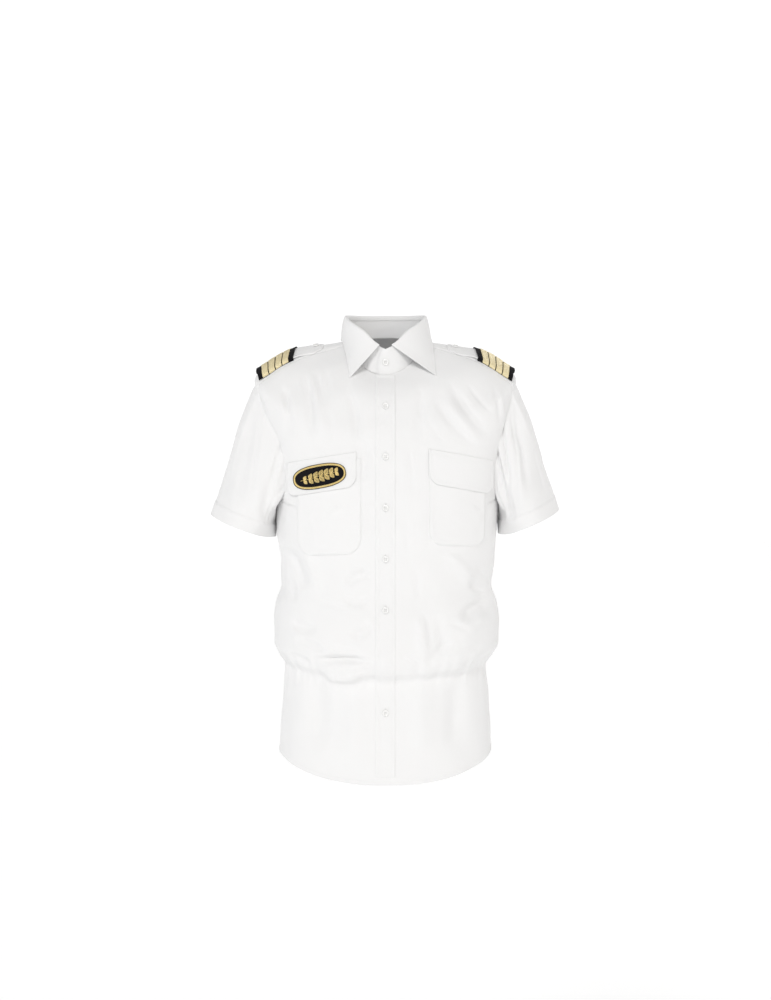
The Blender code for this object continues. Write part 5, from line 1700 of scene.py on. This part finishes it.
# Making the shirt
panels = add_body()
add_sleeves()
fronts = surface_of([np.concatenate([panels["front_right"], panels["front_left"]], axis=1)])
plain_rings = ring_steps(0.0, HEM_RING, 90, FRONT_TURN)
plain_turns = np.array([np.linspace(-88.0, 88.0, 90)] * len(plain_rings))
plain_front = dressed(plain_rings[:, None] * np.ones(90), plain_turns, share=0.0)[0]
soft = surface_of([plain_front])
shoulders = surface_of([panels[name] for name in ("front_right", "front_left", "yoke", "back")])
stand = add_stand()
add_fall(shoulders)
placket = add_placket(fronts, soft)
flap_faces = {}
for pocket, flap in zip(POCKETS, FLAPS):
    add_pocket(pocket, fronts, soft)
    flap_faces[flap[0]] = add_flap(flap, fronts, soft)
add_front_buttons(placket, stand)
for name in SIDES:
    strap = add_strap(name, shoulders)
    add_bars(name, *add_slide(name, shoulders))
    add_strap_button(name, strap)
on_felt, badge_way = add_badge_ground(flap_faces["right"])
add_badge_rim(on_felt, badge_way)
add_badge_sprig(on_felt, badge_way)
for group, stitches in SEWN.items():
    stitch_mesh("stitches_" + group, stitches, THREAD)
stitch_mesh("button_threads", BUTTON_THREADS, THREAD)


# Floor, light and camera
FLOOR_Z = -2.0
FLOOR_HALF = 60.0
FLOOR_GLOW = 0.30
WORLD_BAND = (0.34, 0.58)
WORLD_TOP = 0.30
WORLD_STRENGTH = 1.08
SUNS = [
    # name  way  power  spread in degrees  colour
    ("key", (0.24, 0.74, -0.63), 0.95, 12.0, (1.0, 0.995, 0.985)),
    ("warm", (-0.66, 0.75, -0.12), 0.16, 12.0, (1.0, 0.86, 0.70)),
    ("back", (-0.40, -0.70, -0.60), 0.45, 30.0, (1.0, 1.0, 1.0)),
]


def add_floor():
    mesh = bpy.data.meshes.new("floor")
    s = FLOOR_HALF
    corners = [(x, y, FLOOR_Z) for x, y in ((-s, -s), (s, -s), (s, s), (-s, s))]
    mesh.from_pydata(corners, [], [(0, 1, 2, 3)])
    inputs = {
        "Specular IOR Level": 0.0,
        "Emission Color": (1.0, 1.0, 1.0, 1.0),
        "Emission Strength": FLOOR_GLOW,
    }
    mesh.materials.append(shader_of("pale_floor", (0.93, 0.93, 0.93), 0.9, inputs)[0])
    placed("floor", mesh)


def add_sun(name, way, power, spread, colour):
    light = bpy.data.lights.new(name, "SUN")
    light.energy = power
    light.angle = math.radians(spread)
    light.color = colour
    thing = placed(name, light)
    thing.rotation_mode = "QUATERNION"
    thing.rotation_quaternion = Vector(way).to_track_quat("-Z", "Y")


def add_world():
    """White round the horizon and softer overhead."""
    world = bpy.data.worlds.new("studio")
    world.use_nodes = True
    tree = world.node_tree
    split = tree.nodes.new("ShaderNodeSeparateXYZ")
    way = tree.nodes.new("ShaderNodeTexCoord").outputs["Generated"]
    tree.links.new(way, split.inputs["Vector"])
    ramp = tree.nodes.new("ShaderNodeValToRGB")
    ramp.color_ramp.interpolation = "EASE"
    low, high = ramp.color_ramp.elements
    low.position, high.position = WORLD_BAND
    low.color = (1.0, 1.0, 1.0, 1.0)
    high.color = (WORLD_TOP, WORLD_TOP, WORLD_TOP, 1.0)
    tree.links.new(split.outputs["Z"], ramp.inputs["Fac"])
    tree.links.new(ramp.outputs["Color"], tree.nodes["Background"].inputs["Color"])
    tree.nodes["Background"].inputs["Strength"].default_value = WORLD_STRENGTH
    bpy.context.scene.world = world


def add_camera():
    """Square on to the front, 2.6 m off."""
    camera = bpy.data.cameras.new("camera")
    camera.lens = 54.4
    camera.sensor_width = 36.0
    camera.sensor_fit = "AUTO"
    thing = placed("camera", camera)
    thing.location = (0.0, -2.6, -0.267)
    thing.rotation_euler = (math.radians(90.0), 0.0, 0.0)
    bpy.context.scene.camera = thing


add_floor()
add_world()
for sun in SUNS:
    add_sun(*sun)
add_camera()
bpy.context.scene.view_settings.view_transform = "Standard"
